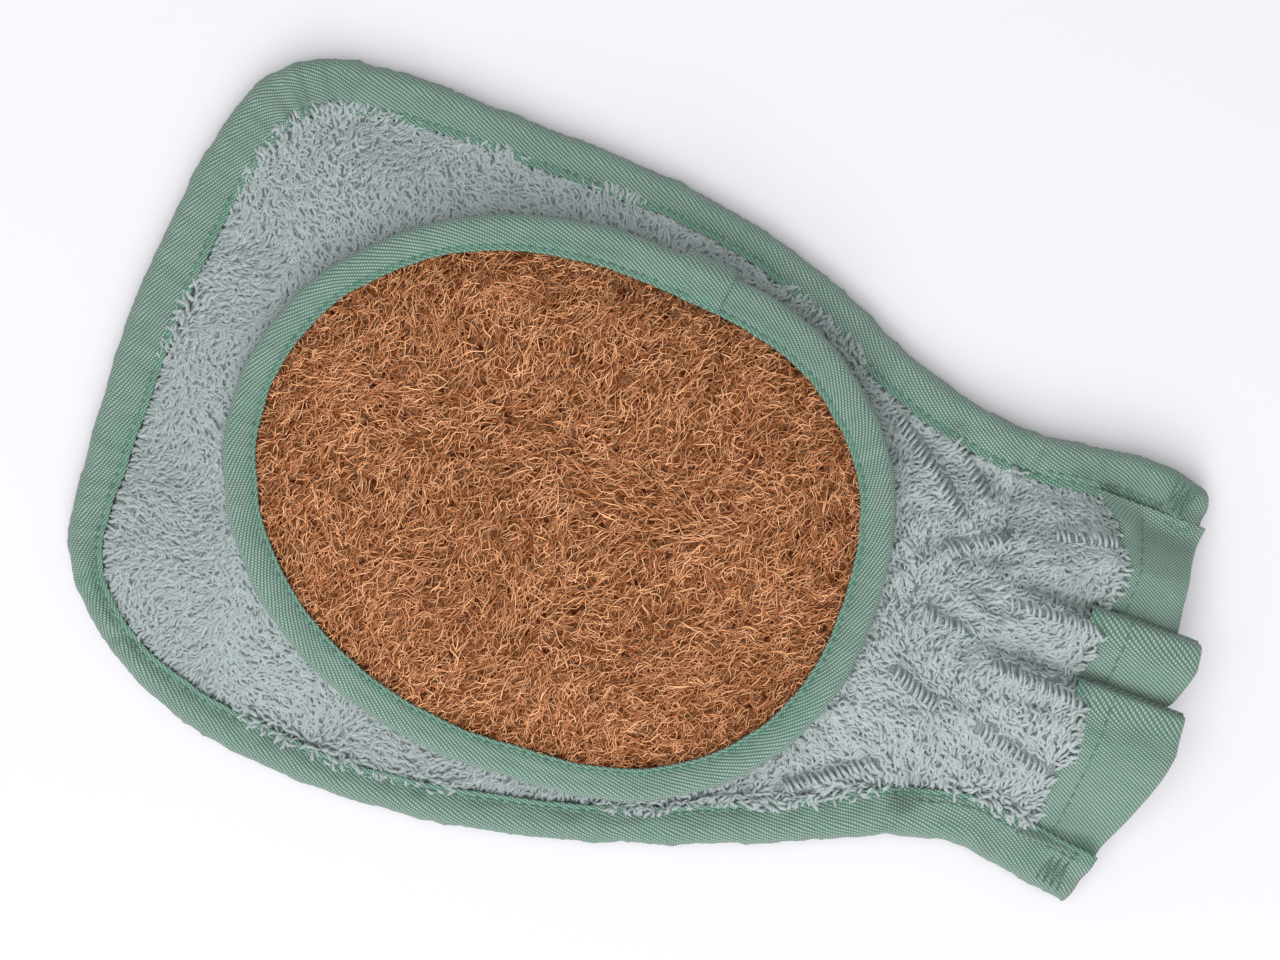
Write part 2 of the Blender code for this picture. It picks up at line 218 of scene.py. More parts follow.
TURN_Y = 60 * MM  # where the mitt's straight sides end and its rounded fingertip end starts
FAR = 300 * MM  # well outside the mitt


def mitt_edge():
    """The mitt's outer edge, from the left wrist corner round the fingertips to the right one."""
    low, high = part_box("edge_binding")
    tree = frame_tree("edge_binding")
    level = (low[2] + high[2]) / 2
    points = []

    def reach(start, towards):
        hit = tree.ray_cast(Vector((*start, level)), Vector((*towards, 0.0)))[0]
        if hit:
            points.append((hit.x, hit.y))

    ys = np.arange(low[1] + 3 * MM, TURN_Y, 2 * MM)
    for y in ys:
        reach((-FAR, y), (1, 0))
    for angle in np.radians(np.arange(180, -0.1, -1.5)):
        out = np.array([math.cos(angle), math.sin(angle)])
        reach(out * FAR + (0, TURN_Y), tuple(-out))
    for y in ys[::-1]:
        reach((FAR, y), (-1, 0))
    return Line(points)


PAD_RIM_IN = 2.6 * MM  # from the outer edge of the pad's tape to the loofah inside it


def pad_edge():
    """The outer edge of the loofah pad's binding, clockwise from +X."""
    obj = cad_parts["loofah_pad"]
    low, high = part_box("loofah_pad")
    centre = np.array([(low[0] + high[0]) / 2, (low[1] + high[1]) / 2])
    corners = np.array([(obj.matrix_world @ v.co)[:2] for v in obj.data.vertices]) - centre
    angle = np.arctan2(corners[:, 1], corners[:, 0])
    reach = np.hypot(corners[:, 0], corners[:, 1])
    points = []
    for direction in np.radians(np.arange(0, -360, -3)):
        apart = np.abs((angle - direction + math.pi) % (2 * math.pi) - math.pi)
        nearby = np.where(apart < math.radians(4.0))[0]
        out = np.array([math.cos(direction), math.sin(direction)])
        points.append(centre + out * reach[nearby].max())
    loofah = Line(points, closed=True, smooth=5 * MM)
    return Line(loofah.at(loofah.run, -PAD_RIM_IN), closed=True, smooth=2 * MM)


EDGE = mitt_edge()
PAD = pad_edge()
FRONT = Relief("front_panel")
BACK = Relief("back_panel", above=False)
LOOFAH = Relief("loofah_pad")
BINDING_TOP = Relief("edge_binding")
BINDING_UNDER = Relief("edge_binding", above=False)
PAD_TAPE_TOP = Relief("pad_binding")
PAD_TAPE_UNDER = Relief("pad_binding", above=False)


# Shapes that the pieces share


def smoothstep(value):
    """0 up to 0, 1 from 1 on, and an even bend between."""
    value = np.clip(value, 0.0, 1.0)
    return value * value * (3.0 - 2.0 * value)


def bump(value, middle, spread):
    """1 at the middle, falling away on both sides over the spread."""
    return np.exp(-(((value - middle) / spread) ** 2))


def wander(xy, size, seed, detail=2):
    """Smooth noise from about -1 to 1 at points in plan, with features of the given size."""
    found = []
    for x, y in np.asarray(xy).reshape(-1, 2):
        spot = Vector((x / size + 31.7 * seed, y / size - 12.9 * seed, 5.3 * seed))
        found.append(noise.fractal(spot, 0.7, 2.0, detail))
    return np.array(found).reshape(np.asarray(xy).shape[:-1])


# Wrist lobes, left to right: start, end, share of the way to the crest, and height.
LOBES = [
    (-30 * MM, 4.2 * MM, 0.90, 3.4 * MM),
    (4.2 * MM, 18.4 * MM, 0.84, 3.2 * MM),
    (18.4 * MM, 43 * MM, 0.55, 2.8 * MM),
]
# Creases that the elastic pulls in the terry: x, y, spread and depth.
TERRY_VALLEYS = np.array([
    (-18, -77, 3.0, 2.2), (-9, -74, 2.0, 1.4), (13, -76, 2.0, 2.0), (31, -77, 3.0, 2.2),
    (-30, -64, 2.6, 1.2), (-13, -62, 2.2, 1.3), (7, -62, 2.4, 1.2), (22, -64, 2.2, 1.4),
    (37, -61, 2.4, 1.2), (-4, -86, 1.6, 0.9),
]) * MM


def lobes(xy):
    """How far the front of the wrist stands up in lobes, each falling steeply at its right."""
    x, y = xy[..., 0], xy[..., 1]
    rise = np.zeros_like(x)
    for left, right, crest, height in LOBES:
        share = np.clip((x - left) / (right - left), 0, 1)
        up = smoothstep(share / crest)
        down = 1 - smoothstep((share - crest) / (1 - crest))
        rise += height * up * down
    for left, _, _, height in LOBES[1:]:
        rise -= 0.6 * height * bump(x, left + 0.4 * MM, 1.3 * MM)
    return rise * smoothstep((-70 * MM - y) / (16 * MM))


# The front terry's hem at the wrist, and the band's seam below it: x and y.
HEM = np.array([(-31, -94), (-28, -97), (-10, -97.5), (3, -97), (4.6, -94.5), (17, -94.5),
                (19, -93.5), (26, -95.5), (33, -94), (38, -91), (41, -87), (44, -84)]) * MM
BAND_SEAM = np.array([(-30, -102.5), (3, -102.8), (4.5, -100.5), (18, -100.8), (19.5, -99.5),
                      (30, -99), (43, -96)]) * MM


ELASTIC_Y = -70.5 * MM  # where the elastic draws the front in
GROUND_IN = 0.7 * MM  # from the outside of the CAD's panels to the cloth under the loops


def hem_y(x):
    return np.interp(x, HEM[:, 0], HEM[:, 1])


def seam_y(x):
    return np.interp(x, BAND_SEAM[:, 0], BAND_SEAM[:, 1])


def front_surface(xy):
    """Top of the front terry's ground cloth, with its gathers."""
    xy = np.asarray(xy)
    x, y = xy[..., 0], xy[..., 1]
    z = FRONT(xy) - GROUND_IN + lobes(xy)
    z = z + 1.2 * MM * bump(y, hem_y(x) + 3.5 * MM, 5 * MM)
    z = z - 1.7 * MM * bump(y, ELASTIC_Y, 2.2 * MM)
    for vx, vy, spread, depth in TERRY_VALLEYS:
        z = z - depth * bump(x, vx, spread) * bump(y, vy, 6.5 * MM)
    flat = xy.reshape(-1, 2)
    z = z + 1.2 * MM * bump(ridge_distance(flat).reshape(x.shape), 0, 1.9 * MM)
    rumpled = smoothstep((-30 * MM - y) / (25 * MM))
    z = z + wander(xy, 4.2 * MM, 4, 1) * (0.25 + 0.75 * rumpled) * MM
    return z + wander(xy, 9 * MM, 3) * (0.4 + 1.0 * rumpled) * MM


def back_surface(xy):
    """Underside of the back terry's ground cloth."""
    return BACK(xy) + GROUND_IN


# Meshes


def new_object(name, mesh, finish):
    obj = bpy.data.objects.new(name, mesh)
    bpy.context.scene.collection.objects.link(obj)
    mesh.materials.append(finish)
    return obj


def cloth(name, finish, columns, rows, place, thickness, outer_up=True):
    """A fine grid laid by place(u, v), which gives points and their (x, y) in the weave.

    It is thickened by Solidify away from its outer side.
    """
    bm = bmesh.new()
    bmesh.ops.create_grid(bm, x_segments=columns, y_segments=rows, size=0.5)
    bm.verts.ensure_lookup_table()
    grid = np.array([v.co[:2] for v in bm.verts]) + 0.5
    points, weave = place(grid[:, 0], grid[:, 1])
    for vert, point in zip(bm.verts, points):
        vert.co = point
    weave_map = bm.loops.layers.uv.new("weave")
    for face in bm.faces:
        for loop in face.loops:
            loop[weave_map].uv = weave[loop.vert.index]
    bm.normal_update()
    sign = 1 if outer_up else -1
    shown = max(bm.faces, key=lambda face: sign * face.calc_center_median().z)
    if sign * shown.normal.z < 0:
        bmesh.ops.reverse_faces(bm, faces=bm.faces)
    mesh = bpy.data.meshes.new(name)
    bm.to_mesh(mesh)
    bm.free()
    mesh.shade_smooth()
    obj = new_object(name, mesh, finish)
    solid = obj.modifiers.new("thickness", "SOLIDIFY")
    solid.thickness = thickness
    solid.offset = -1.0
    solid.use_even_offset = False
    return obj


STRAND_SIDES = 3
PIECE_FACES = 190000  # triangles that one piece may have


def strands(name, finish, lines, radii, shades, sides=STRAND_SIDES):
    """Fine round strands through the lines (strand, point, xyz), tapered by radii.

    Each vertex keeps its strand's own shade in the attribute "strand" and its place
    from one end to the other in the attribute "along".
    """
    count, steps = lines.shape[:2]
    section = bpy.data.curves.new("strand_section", "CURVE")
    ring = section.splines.new("POLY")
    ring.points.add(sides - 1)
    for i, point in enumerate(ring.points):
        angle = 2 * math.pi * i / sides
        point.co = (math.cos(angle), math.sin(angle), 0.0, 1.0)
    ring.use_cyclic_u = True
    section_object = bpy.data.objects.new("strand_section", section)
    bpy.context.scene.collection.objects.link(section_object)
    curve = bpy.data.curves.new(name, "CURVE")
    curve.dimensions = "3D"
    curve.bevel_mode = "OBJECT"
    curve.bevel_object = section_object
    curve.use_fill_caps = True
    four = np.concatenate([lines, np.ones((count, steps, 1))], axis=2)
    for i in range(count):
        spline = curve.splines.new("POLY")
        spline.points.add(steps - 1)
        spline.points.foreach_set("co", four[i].ravel())
        spline.points.foreach_set("radius", radii[i])
    drawn = bpy.data.objects.new(name, curve)
    bpy.context.scene.collection.objects.link(drawn)
    graph = bpy.context.evaluated_depsgraph_get()
    mesh = bpy.data.meshes.new_from_object(drawn.evaluated_get(graph))
    mesh.name = name
    bpy.data.objects.remove(drawn)
    bpy.data.curves.remove(curve)
    bpy.data.objects.remove(section_object)
    bpy.data.curves.remove(section)
    each = len(mesh.vertices) // count
    own = mesh.attributes.new("strand", "FLOAT", "POINT")
    own.data.foreach_set("value", np.repeat(np.asarray(shades), each).astype(np.float32))
    places = np.empty(len(mesh.vertices) * 3)
    mesh.vertices.foreach_get("co", places)
    places = places.reshape(count, each, 3)
    from_start, from_end = (np.linalg.norm(places - lines[:, None, i], axis=2) for i in (0, -1))
    along = from_start / (from_start + from_end)
    tip = mesh.attributes.new("along", "FLOAT", "POINT")
    tip.data.foreach_set("value", along.ravel().astype(np.float32))
    bm = bmesh.new()
    bm.from_mesh(mesh)
    bmesh.ops.remove_doubles(bm, verts=bm.verts, dist=1e-7)
    bm.to_mesh(mesh)
    bm.free()
    mesh.materials.clear()
    mesh.shade_smooth()
    return new_object(name, mesh, finish)


def finish_piece(obj, replaced=()):
    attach(obj, "root")
    if replaced:
        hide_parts(*replaced)
    return obj


def strand_pieces(name, finish, lines, radii, shades, place_y):
    """The strands in as many pieces as keep each light enough, split along the mitt."""
    each = 2 * STRAND_SIDES * (lines.shape[1] - 1) + 2
    pieces = math.ceil(len(lines) * each / PIECE_FACES)
    order = np.argsort(place_y, kind="stable")
    made = []
    for i, chosen in enumerate(np.array_split(order, pieces), 1):
        obj = strands("%s_%d" % (name, i), finish, lines[chosen], radii[chosen], shades[chosen])
        made.append(finish_piece(obj))
    return made


# Finishes


class Wiring:
    """Short ways to place and join nodes in a material or a node group."""

    def __init__(self, tree):
        self.tree = tree

    def add(self, kind, inputs=(), **settings):
        node = self.tree.nodes.new(kind)
        for name, value in settings.items():
            setattr(node, name, value)
        for socket, value in dict(inputs).items():
            self.feed(node.inputs[socket], value)
        return node

    def feed(self, socket, value):
        if isinstance(value, bpy.types.NodeSocket):
            self.tree.links.new(value, socket)
        else:
            socket.default_value = value

    def sum(self, operation, a, b=0.0, c=0.0):
        node = self.add("ShaderNodeMath", operation=operation)
        for socket, value in zip(node.inputs, (a, b, c)):
            self.feed(socket, value)
        return node.outputs[0]

    def mix(self, share, a, b):
        node = self.add("ShaderNodeMix", data_type="RGBA")
        node.clamp_factor = True
        self.feed(node.inputs[0], share)
        self.feed(node.inputs[6], a)
        self.feed(node.inputs[7], b)
        return node.outputs[2]

    def noise(self, vector, scale, detail=2.0, roughness=0.5):
        inputs = {"Vector": vector, "Scale": scale, "Detail": detail, "Roughness": roughness}
        return self.add("ShaderNodeTexNoise", inputs).outputs["Fac"]

    def ramp(self, value, low, high):
        inputs = {"Value": value, "From Min": low, "From Max": high}
        return self.add("ShaderNodeMapRange", inputs).outputs[0]

    def value_of(self, attribute):
        return self.add("ShaderNodeAttribute", attribute_name=attribute).outputs["Fac"]

    def object_place(self):
        return self.add("ShaderNodeTexCoord").outputs["Object"]

    def paint(self, shader, colour_socket):
        self.feed(shader.inputs["Base Color"], colour_socket)

    def weave_place(self):
        return self.add("ShaderNodeUVMap", uv_map="weave").outputs[0]

    def group(self, name, inputs=()):
        return self.add("ShaderNodeGroup", inputs, node_tree=bpy.data.node_groups[name])


def effect(name, inputs, outputs):
    """Makes a node group with named sockets; gives its wiring and its two end nodes."""
    group = bpy.data.node_groups.new(name, "ShaderNodeTree")
    for label, kind, value in inputs:
        socket = group.interface.new_socket(name=label, in_out="INPUT", socket_type=kind)
        if value is not None:
            socket.default_value = value
    for label, kind in outputs:
        group.interface.new_socket(name=label, in_out="OUTPUT", socket_type=kind)
    wires = Wiring(group)
    return wires, wires.add("NodeGroupInput"), wires.add("NodeGroupOutput")


NUMBER, COLOUR, VECTOR = "NodeSocketFloat", "NodeSocketColor", "NodeSocketVector"


def twill_effect():
    """Diagonal ribs of small raised dots, as on cotton bias tape."""
    inputs = [
        ("Place", VECTOR, None), ("Rib Pitch", NUMBER, 0.85 * MM),
        ("Dot Pitch", NUMBER, 0.62 * MM), ("Turn", NUMBER, 0.5),
    ]
    w, start, end = effect("twill weave", inputs, [("Height", NUMBER), ("Yarn", NUMBER)])
    turned = w.add("ShaderNodeVectorRotate", {
        "Vector": start.outputs["Place"], "Angle": start.outputs["Turn"],
    }, rotation_type="Z_AXIS")
    apart = w.add("ShaderNodeSeparateXYZ", {0: turned.outputs[0]})
    across = w.sum("DIVIDE", apart.outputs[1], start.outputs["Rib Pitch"])
    along = w.sum("DIVIDE", apart.outputs[0], start.outputs["Dot Pitch"])
    step = w.sum("MULTIPLY", w.sum("FLOOR", across), 0.42)
    rib = w.sum("SINE", w.sum("MULTIPLY", w.sum("FRACT", across), math.pi))
    dot = w.sum("SINE", w.sum("MULTIPLY", w.sum("FRACT", w.sum("ADD", along, step)), math.pi))
    raised = w.sum("MULTIPLY", w.sum("POWER", rib, 0.8), w.sum("MULTIPLY_ADD", dot, 0.6, 0.4))
    w.feed(end.inputs["Height"], raised)
    w.feed(end.inputs["Yarn"], w.ramp(raised, 0.25, 0.95))


def patches_effect():
    """Soft noise in broad and fine patches, from 0 to 1, that lightens and darkens a finish."""
    w, start, end = effect(
        "noise patches",
        [("Size", NUMBER, 14 * MM), ("Fine Size", NUMBER, 2.2 * MM)],
        [("Broad", NUMBER), ("Fine", NUMBER)],
    )
    place = w.object_place()
    for size, out in (("Size", "Broad"), ("Fine Size", "Fine")):
        scale = w.sum("DIVIDE", 1.0, start.outputs[size])
        w.feed(end.inputs[out], w.ramp(w.noise(place, scale, 3.0, 0.6), 0.3, 0.7))


def strand_effect():
    """Colour of a loop or fibre: its own tone, with painted shade where it goes down at its ends.
    """
    inputs = [
        ("Dark", COLOUR, (0.1, 0.1, 0.1, 1)), ("Light", COLOUR, (0.5, 0.5, 0.5, 1)),
        ("Root", COLOUR, (0.05, 0.05, 0.05, 1)), ("Root Share", NUMBER, 0.6),
    ]
    w, start, end = effect("strand shade", inputs, [("Colour", COLOUR)])
    own = w.mix(w.value_of("strand"), start.outputs["Dark"], start.outputs["Light"])
    # Root and Root Share paint shade over the strand's ends, where it sinks among the others.
    ends = w.sum("ABSOLUTE", w.sum("MULTIPLY_ADD", w.value_of("along"), 2.0, -1.0))
    end_shade = w.sum("MULTIPLY", w.sum("POWER", ends, 2.2), start.outputs["Root Share"])
    w.feed(end.inputs["Colour"], w.mix(end_shade, own, start.outputs["Root"]))


def material(name, roughness, sheen=0.0):
    """A new cloth-like material, its wiring and its shader."""
    finish = bpy.data.materials.new(name)
    finish.use_nodes = True
    finish.node_tree.nodes.clear()
    w = Wiring(finish.node_tree)
    shader = w.add("ShaderNodeBsdfPrincipled")
    shader.inputs["Roughness"].default_value = roughness
    shader.inputs["Specular IOR Level"].default_value = 0.3
    shader.inputs["Sheen Weight"].default_value = sheen
    shader.inputs["Sheen Roughness"].default_value = 0.4
    out = w.add("ShaderNodeOutputMaterial")
    finish.node_tree.links.new(shader.outputs[0], out.inputs[0])
    return finish, w, shader


def relief(w, shader, height, depth):
    """Fine relief of the given depth on a material."""
    bumped = w.add("ShaderNodeBump", {"Height": height, "Distance": depth, "Strength": 1.0})
    w.feed(shader.inputs["Normal"], bumped.outputs[0])


def colour(value, times=1.0):
    return (value[0] * times, value[1] * times, value[2] * times, 1.0)


def pile_finish(colours):
    finish, w, shader = material("terry pile", 0.92, sheen=0.25)
    # The loops' ends take the root colour: painted shade deep between the loops.
    shade = w.group("strand shade", {
        "Dark": colour(colours.terry_shade), "Light": colour(colours.terry),
        "Root": colour(colours.terry_root_shade), "Root Share": 0.45,
    })
    patches = w.group("noise patches", {"Size": 16 * MM, "Fine Size": 1.4 * MM})
    tinted = w.mix(
        w.sum("MULTIPLY", patches.outputs["Broad"], 0.65),
        shade.outputs["Colour"], colour(colours.terry_tint),
    )
    twist = w.noise(w.object_place(), 3200.0, 2.0)
    w.paint(shader, w.mix(
        w.sum("MULTIPLY", w.ramp(twist, 0.35, 0.65), 0.3), tinted, colour(colours.terry, 1.3)
    ))
    relief(w, shader, twist, 0.12 * MM)
    return finish


def ground_finish(colours):
    finish, w, shader = material("terry ground", 0.95, sheen=0.1)
    place = w.weave_place()
    weave = w.group("twill weave", {
        "Place": place, "Rib Pitch": 0.9 * MM, "Dot Pitch": 0.7 * MM, "Turn": 0.0,
    })
    patches = w.group("noise patches")
    # The ground is painted dark for the shade under and between the loops, with lighter yarn crests
    # and painted shade in the weave's gaps.
    dark = w.mix(patches.outputs["Broad"], colour(colours.terry_root_shade),
                 colour(colours.terry_shade, 0.8))
    w.paint(shader, w.mix(
        w.sum("MULTIPLY", weave.outputs["Yarn"], 0.5), dark, colour(colours.terry_shade)
    ))
    relief(w, shader, weave.outputs["Height"], 0.3 * MM)
    return finish


def tape_finish(colours, name="bias tape", turn=0.42):
    finish, w, shader = material(name, 0.78, sheen=0.2)
    place = w.weave_place()
    weave = w.group("twill weave", {
        "Place": place, "Rib Pitch": 0.68 * MM, "Dot Pitch": 0.58 * MM, "Turn": turn,
    })
    patches = w.group("noise patches", {"Size": 9 * MM, "Fine Size": 1.2 * MM})
    cloth_colour = w.mix(
        w.sum("MULTIPLY", patches.outputs["Broad"], 0.6),
        colour(colours.tape), colour(colours.tape_faded),
    )
    green = w.ramp(w.noise(w.object_place(), 130.0, 3.0, 0.6), 0.52, 0.72)
    cloth_colour = w.mix(w.sum("MULTIPLY", green, 0.7), cloth_colour, colour(colours.tape_green))
    across = w.add("ShaderNodeSeparateXYZ", {0: place}).outputs[1]
    strip = w.sum("MULTIPLY", w.ramp(across, 1.9 * MM, 1.0 * MM), 0.75)
    cloth_colour = w.mix(strip, cloth_colour, colour(colours.tape_green))
    # Painted shade in the gaps between the yarns, and a painted highlight on the raised yarn.
    gaps = w.mix(weave.outputs["Yarn"], colour(colours.tape_gap_shade), cloth_colour)
    w.paint(shader, w.mix(
        w.sum("MULTIPLY", w.ramp(weave.outputs["Yarn"], 0.6, 1.0), 0.42),
        gaps, colour(colours.tape_yarn_highlight),
    ))
    fuzz = w.sum("MULTIPLY_ADD", patches.outputs["Fine"], 0.3, weave.outputs["Height"])
    relief(w, shader, fuzz, 0.22 * MM)
    return finish


def fibre_finish(colours):
    finish, w, shader = material("loofah fibre", 0.7)
    shader.inputs["Specular IOR Level"].default_value = 0.12
    # Fibres run from the shaded colour of deep ones to the lit pale colour of raised ones, with
    # painted shade at their ends.
    shade = w.group("strand shade", {
        "Dark": colour(colours.loofah), "Light": colour(colours.loofah_pale_lit),
        "Root": colour(colours.loofah_hole_shade), "Root Share": 0.65,
    })
    patches = w.group("noise patches", {"Size": 20 * MM, "Fine Size": 1.0 * MM})
    warm = w.mix(
        w.sum("MULTIPLY", patches.outputs["Broad"], 0.25),
        shade.outputs["Colour"], colour(colours.loofah),
    )
    # Random fine flecks are brightened towards the lit pale colour, as painted highlights.
    w.paint(shader, w.mix(
        w.sum("MULTIPLY", patches.outputs["Fine"], 0.12), warm, colour(colours.loofah_pale_lit, 1.1)
    ))
    relief(w, shader, w.noise(w.object_place(), 5000.0, 2.0), 0.05 * MM)
    return finish


def core_finish(colours):
    finish, w, shader = material("loofah core", 0.9)
    shader.inputs["Specular IOR Level"].default_value = 0.05
    place = w.object_place()
    tangle = w.noise(place, 900.0, 4.0, 0.7)
    holes = w.ramp(w.noise(place, 640.0, 2.0, 0.5), 0.3, 0.46)
    bent = w.add("ShaderNodeVectorMath", {
        0: w.add("ShaderNodeTexNoise", {"Vector": place, "Scale": 500.0}).outputs["Color"],
        3: 1.4 * MM,
    }, operation="SCALE").outputs[0]
    wound = w.add("ShaderNodeVectorMath", {0: place, 1: bent}, operation="ADD").outputs[0]
    lines = []
    for scale in (520.0, 870.0):
        cells = w.add("ShaderNodeTexVoronoi", {"Vector": wound, "Scale": scale},
                      feature="DISTANCE_TO_EDGE")
        lines.append(w.ramp(cells.outputs["Distance"], 0.16, 0.03))
    fibre = w.sum("MAXIMUM", *lines)
    # Painted shade: the core under the fibres takes darkened copies of the loofah colours, with
    # near-black holes.
    shaded_core = w.mix(w.ramp(tangle, 0.3, 0.7), colour(colours.loofah, 0.4), colour(colours.loofah, 0.8))
    felt = w.mix(w.sum("MULTIPLY", fibre, 0.6), shaded_core, colour(colours.loofah_pale_lit, 0.28))
    w.paint(shader, w.mix(holes, colour(colours.loofah_hole_shade), felt))
    relief(w, shader, w.sum("ADD", fibre, holes), 0.5 * MM)
    return finish


def plain_weave_finish(name, base, gap, pitch, roughness=0.85):
    finish, w, shader = material(name, roughness, sheen=0.15)
    place = w.weave_place()
    weave = w.group("twill weave", {
        "Place": place, "Rib Pitch": pitch, "Dot Pitch": pitch * 0.8, "Turn": 0.0,
    })
    patches = w.group("noise patches")
    # The gap colour is painted shade between the yarns.
    shade = w.mix(weave.outputs["Yarn"], colour(gap), colour(base))
    w.paint(shader, w.mix(
        w.sum("MULTIPLY", patches.outputs["Broad"], 0.3), shade, colour(base, 0.8)
    ))
    relief(w, shader, weave.outputs["Height"], 0.2 * MM)
    return finish


def thread_finish(colours):
    finish, w, shader = material("sewing thread", 0.6, sheen=0.1)
    # The stitches darken towards their ends: painted shade where they sink into the cloth.
    shade = w.group("strand shade", {
        "Dark": colour(colours.thread, 0.8), "Light": colour(colours.thread, 1.15),
        "Root": colour(colours.thread, 0.4), "Root Share": 0.7,
    })
    w.paint(shader, shade.outputs["Colour"])
    relief(w, shader, w.noise(w.object_place(), 4000.0, 1.0), 0.08 * MM)
    return finish


def finish_called(name, maker, *facts):
    """The material of that name, made when it is first asked for."""
    return bpy.data.materials.get(name) or maker(*facts)


# Tapes

# Shares of a folded tape's section: on each flat side, and round the fold.
FLAT, TURN = 0.4, 0.2
EDGE_FOLD, EDGE_SEAM_IN = 3.4 * MM, 1.4 * MM
PAD_FOLD, PAD_SEAM_IN = 2.6 * MM, 0.9 * MM


def tape_section(share, width, under_width, top, under, inner_top, inner_under, fold, seam_in):
    """Inset and height of a folded tape from its upper inner edge round to its lower one.

    top and under are the heights of its puffed ridge, and seam_in is how far the seam
    stands in from the inner edges.
    """
    middle, half = (top + under) / 2, (top - under) / 2
    turn = np.clip((share - FLAT) / TURN, 0, 1)
    angle = math.pi * (0.5 - turn)
    inset_fold = fold * (1 - np.sign(np.cos(angle)) * np.abs(np.cos(angle)) ** 0.8)
    height_fold = middle + half * np.sign(np.sin(angle)) * np.abs(np.sin(angle)) ** 0.9
    upper = share < FLAT
    lower = share > 1 - FLAT
    flat = np.where(upper, share / FLAT, (1 - share) / FLAT)
    reach = np.where(upper, width, under_width)
    inset_flat = reach + (fold - reach) * flat
    ridge = np.where(upper, top, under)
    edge = np.where(upper, inner_top, inner_under)
    outwards = np.where(upper, 1.0, -1.0)
    span = np.maximum(reach - fold, 1 * MM)
    puff = smoothstep((reach - seam_in - inset_flat) / (0.62 * span))
    height_flat = edge + (ridge - edge) * puff
    height_flat -= outwards * 0.4 * MM * bump(inset_flat, reach - seam_in, 0.75 * MM)
    flat_part = upper | lower
    return (
        np.where(flat_part, inset_flat, inset_fold),
        np.where(flat_part, height_flat, height_fold),
        np.where(upper, 1.0, np.where(lower, -1.0, np.sin(angle))),
    )


def end_round(along, length, reach):
    """1 along a tape and falling to 0 at its two ends, as a quarter circle."""
    near = np.clip(np.minimum(along, length - along) / reach, 0, 1)
    return np.sqrt(np.maximum(0.0, 1 - (1 - near) ** 2))


def stitches(path, length, out, radius, gap=0.35 * MM, sag=0.22 * MM):
    """Short strands in a row along a path given by its lengths: ends sink, middles stand."""
    total = Line.run_of(path)
    count = max(2, int(total[-1] / length))
    pitch = total[-1] / count
    share = np.linspace(0, 1, 5)
    spots = (np.arange(count)[:, None] + 0.5) * pitch + (share - 0.5) * (pitch - gap)
    lines = np.stack([np.interp(spots, total, path[:, i]) for i in range(3)], -1)
    lines += out * (np.sin(np.pi * share) * 0.3 * MM - sag)[None, :, None]
    radii = np.tile(radius * (0.75 + 0.35 * np.sin(np.pi * share)), (count, 1))
    return lines, radii


def sewn(name, colours, parts, slot_nodes, seed):
    lines = np.concatenate([part[0] for part in parts])
    radii = np.concatenate([part[1] for part in parts])
    shades = np.random.default_rng(seed).random(len(lines))
    finish = finish_called("sewing thread", thread_finish, colours)
    obj = strands(name, finish, lines, radii, shades, sides=5)
    return finish_piece(obj, slot_nodes)


UP = np.array([0.0, 0.0, 1.0])

# Where the edge tape is wider or narrower than elsewhere: share of the way, spread, change.
EDGE_CHANGES = [
    (0.0, 0.075, 2.8 * MM), (0.62, 0.05, 2.6 * MM), (0.52, 0.07, 1.6 * MM),
    (1.0, 0.075, 1.9 * MM), (0.80, 0.05, -1.6 * MM), (0.17, 0.05, -1.0 * MM),
    (0.385, 0.05, -2.9 * MM), (0.27, 0.05, -1.4 * MM),
]


def changed_width(width, place, changes):
    """A width that changes round some places: their middles, spreads and changes."""
    return width + sum(change * bump(place, middle, spread) for middle, spread, change in changes)


def edge_width(along, sizes):
    return changed_width(sizes.tape_width, along / EDGE.length, EDGE_CHANGES)


def corner_share(along, line, reach=14 * MM):
    """How strongly a line bends near each place, for the gathers that a bent tape makes."""
    before, after = line.way(along - reach / 2), line.way(along + reach / 2)
    bend = np.arccos(np.clip((before * after).sum(-1), -1, 1))
    return smoothstep(bend / 0.7)


# Deep cross creases in the edge tape: x, y, spread and depth.
EDGE_CREASES = np.array([
    (-42, -71, 1.5, 1.5), (-39, -88, 1.2, 0.8), (51, -70, 1.5, 1.5), (54, -86, 1.4, 0.7),
    (-63, 98, 1.6, 0.9), (-54, 109, 1.2, 0.7), (66, 109, 1.5, 0.8), (73, 98, 1.2, 0.6),
    (-48, -57, 1.6, 0.5), (50, -60, 1.6, 0.6),
]) * MM


def edge_creases(along, share):
    total = np.zeros_like(along)
    for i, (x, y, spread, depth) in enumerate(EDGE_CREASES):
        _, where = EDGE.distance((x, y))
        slant = (-1) ** i * 7 * MM * (share - 0.25)
        total += depth * bump(along, where[0] + slant, spread)
    return total


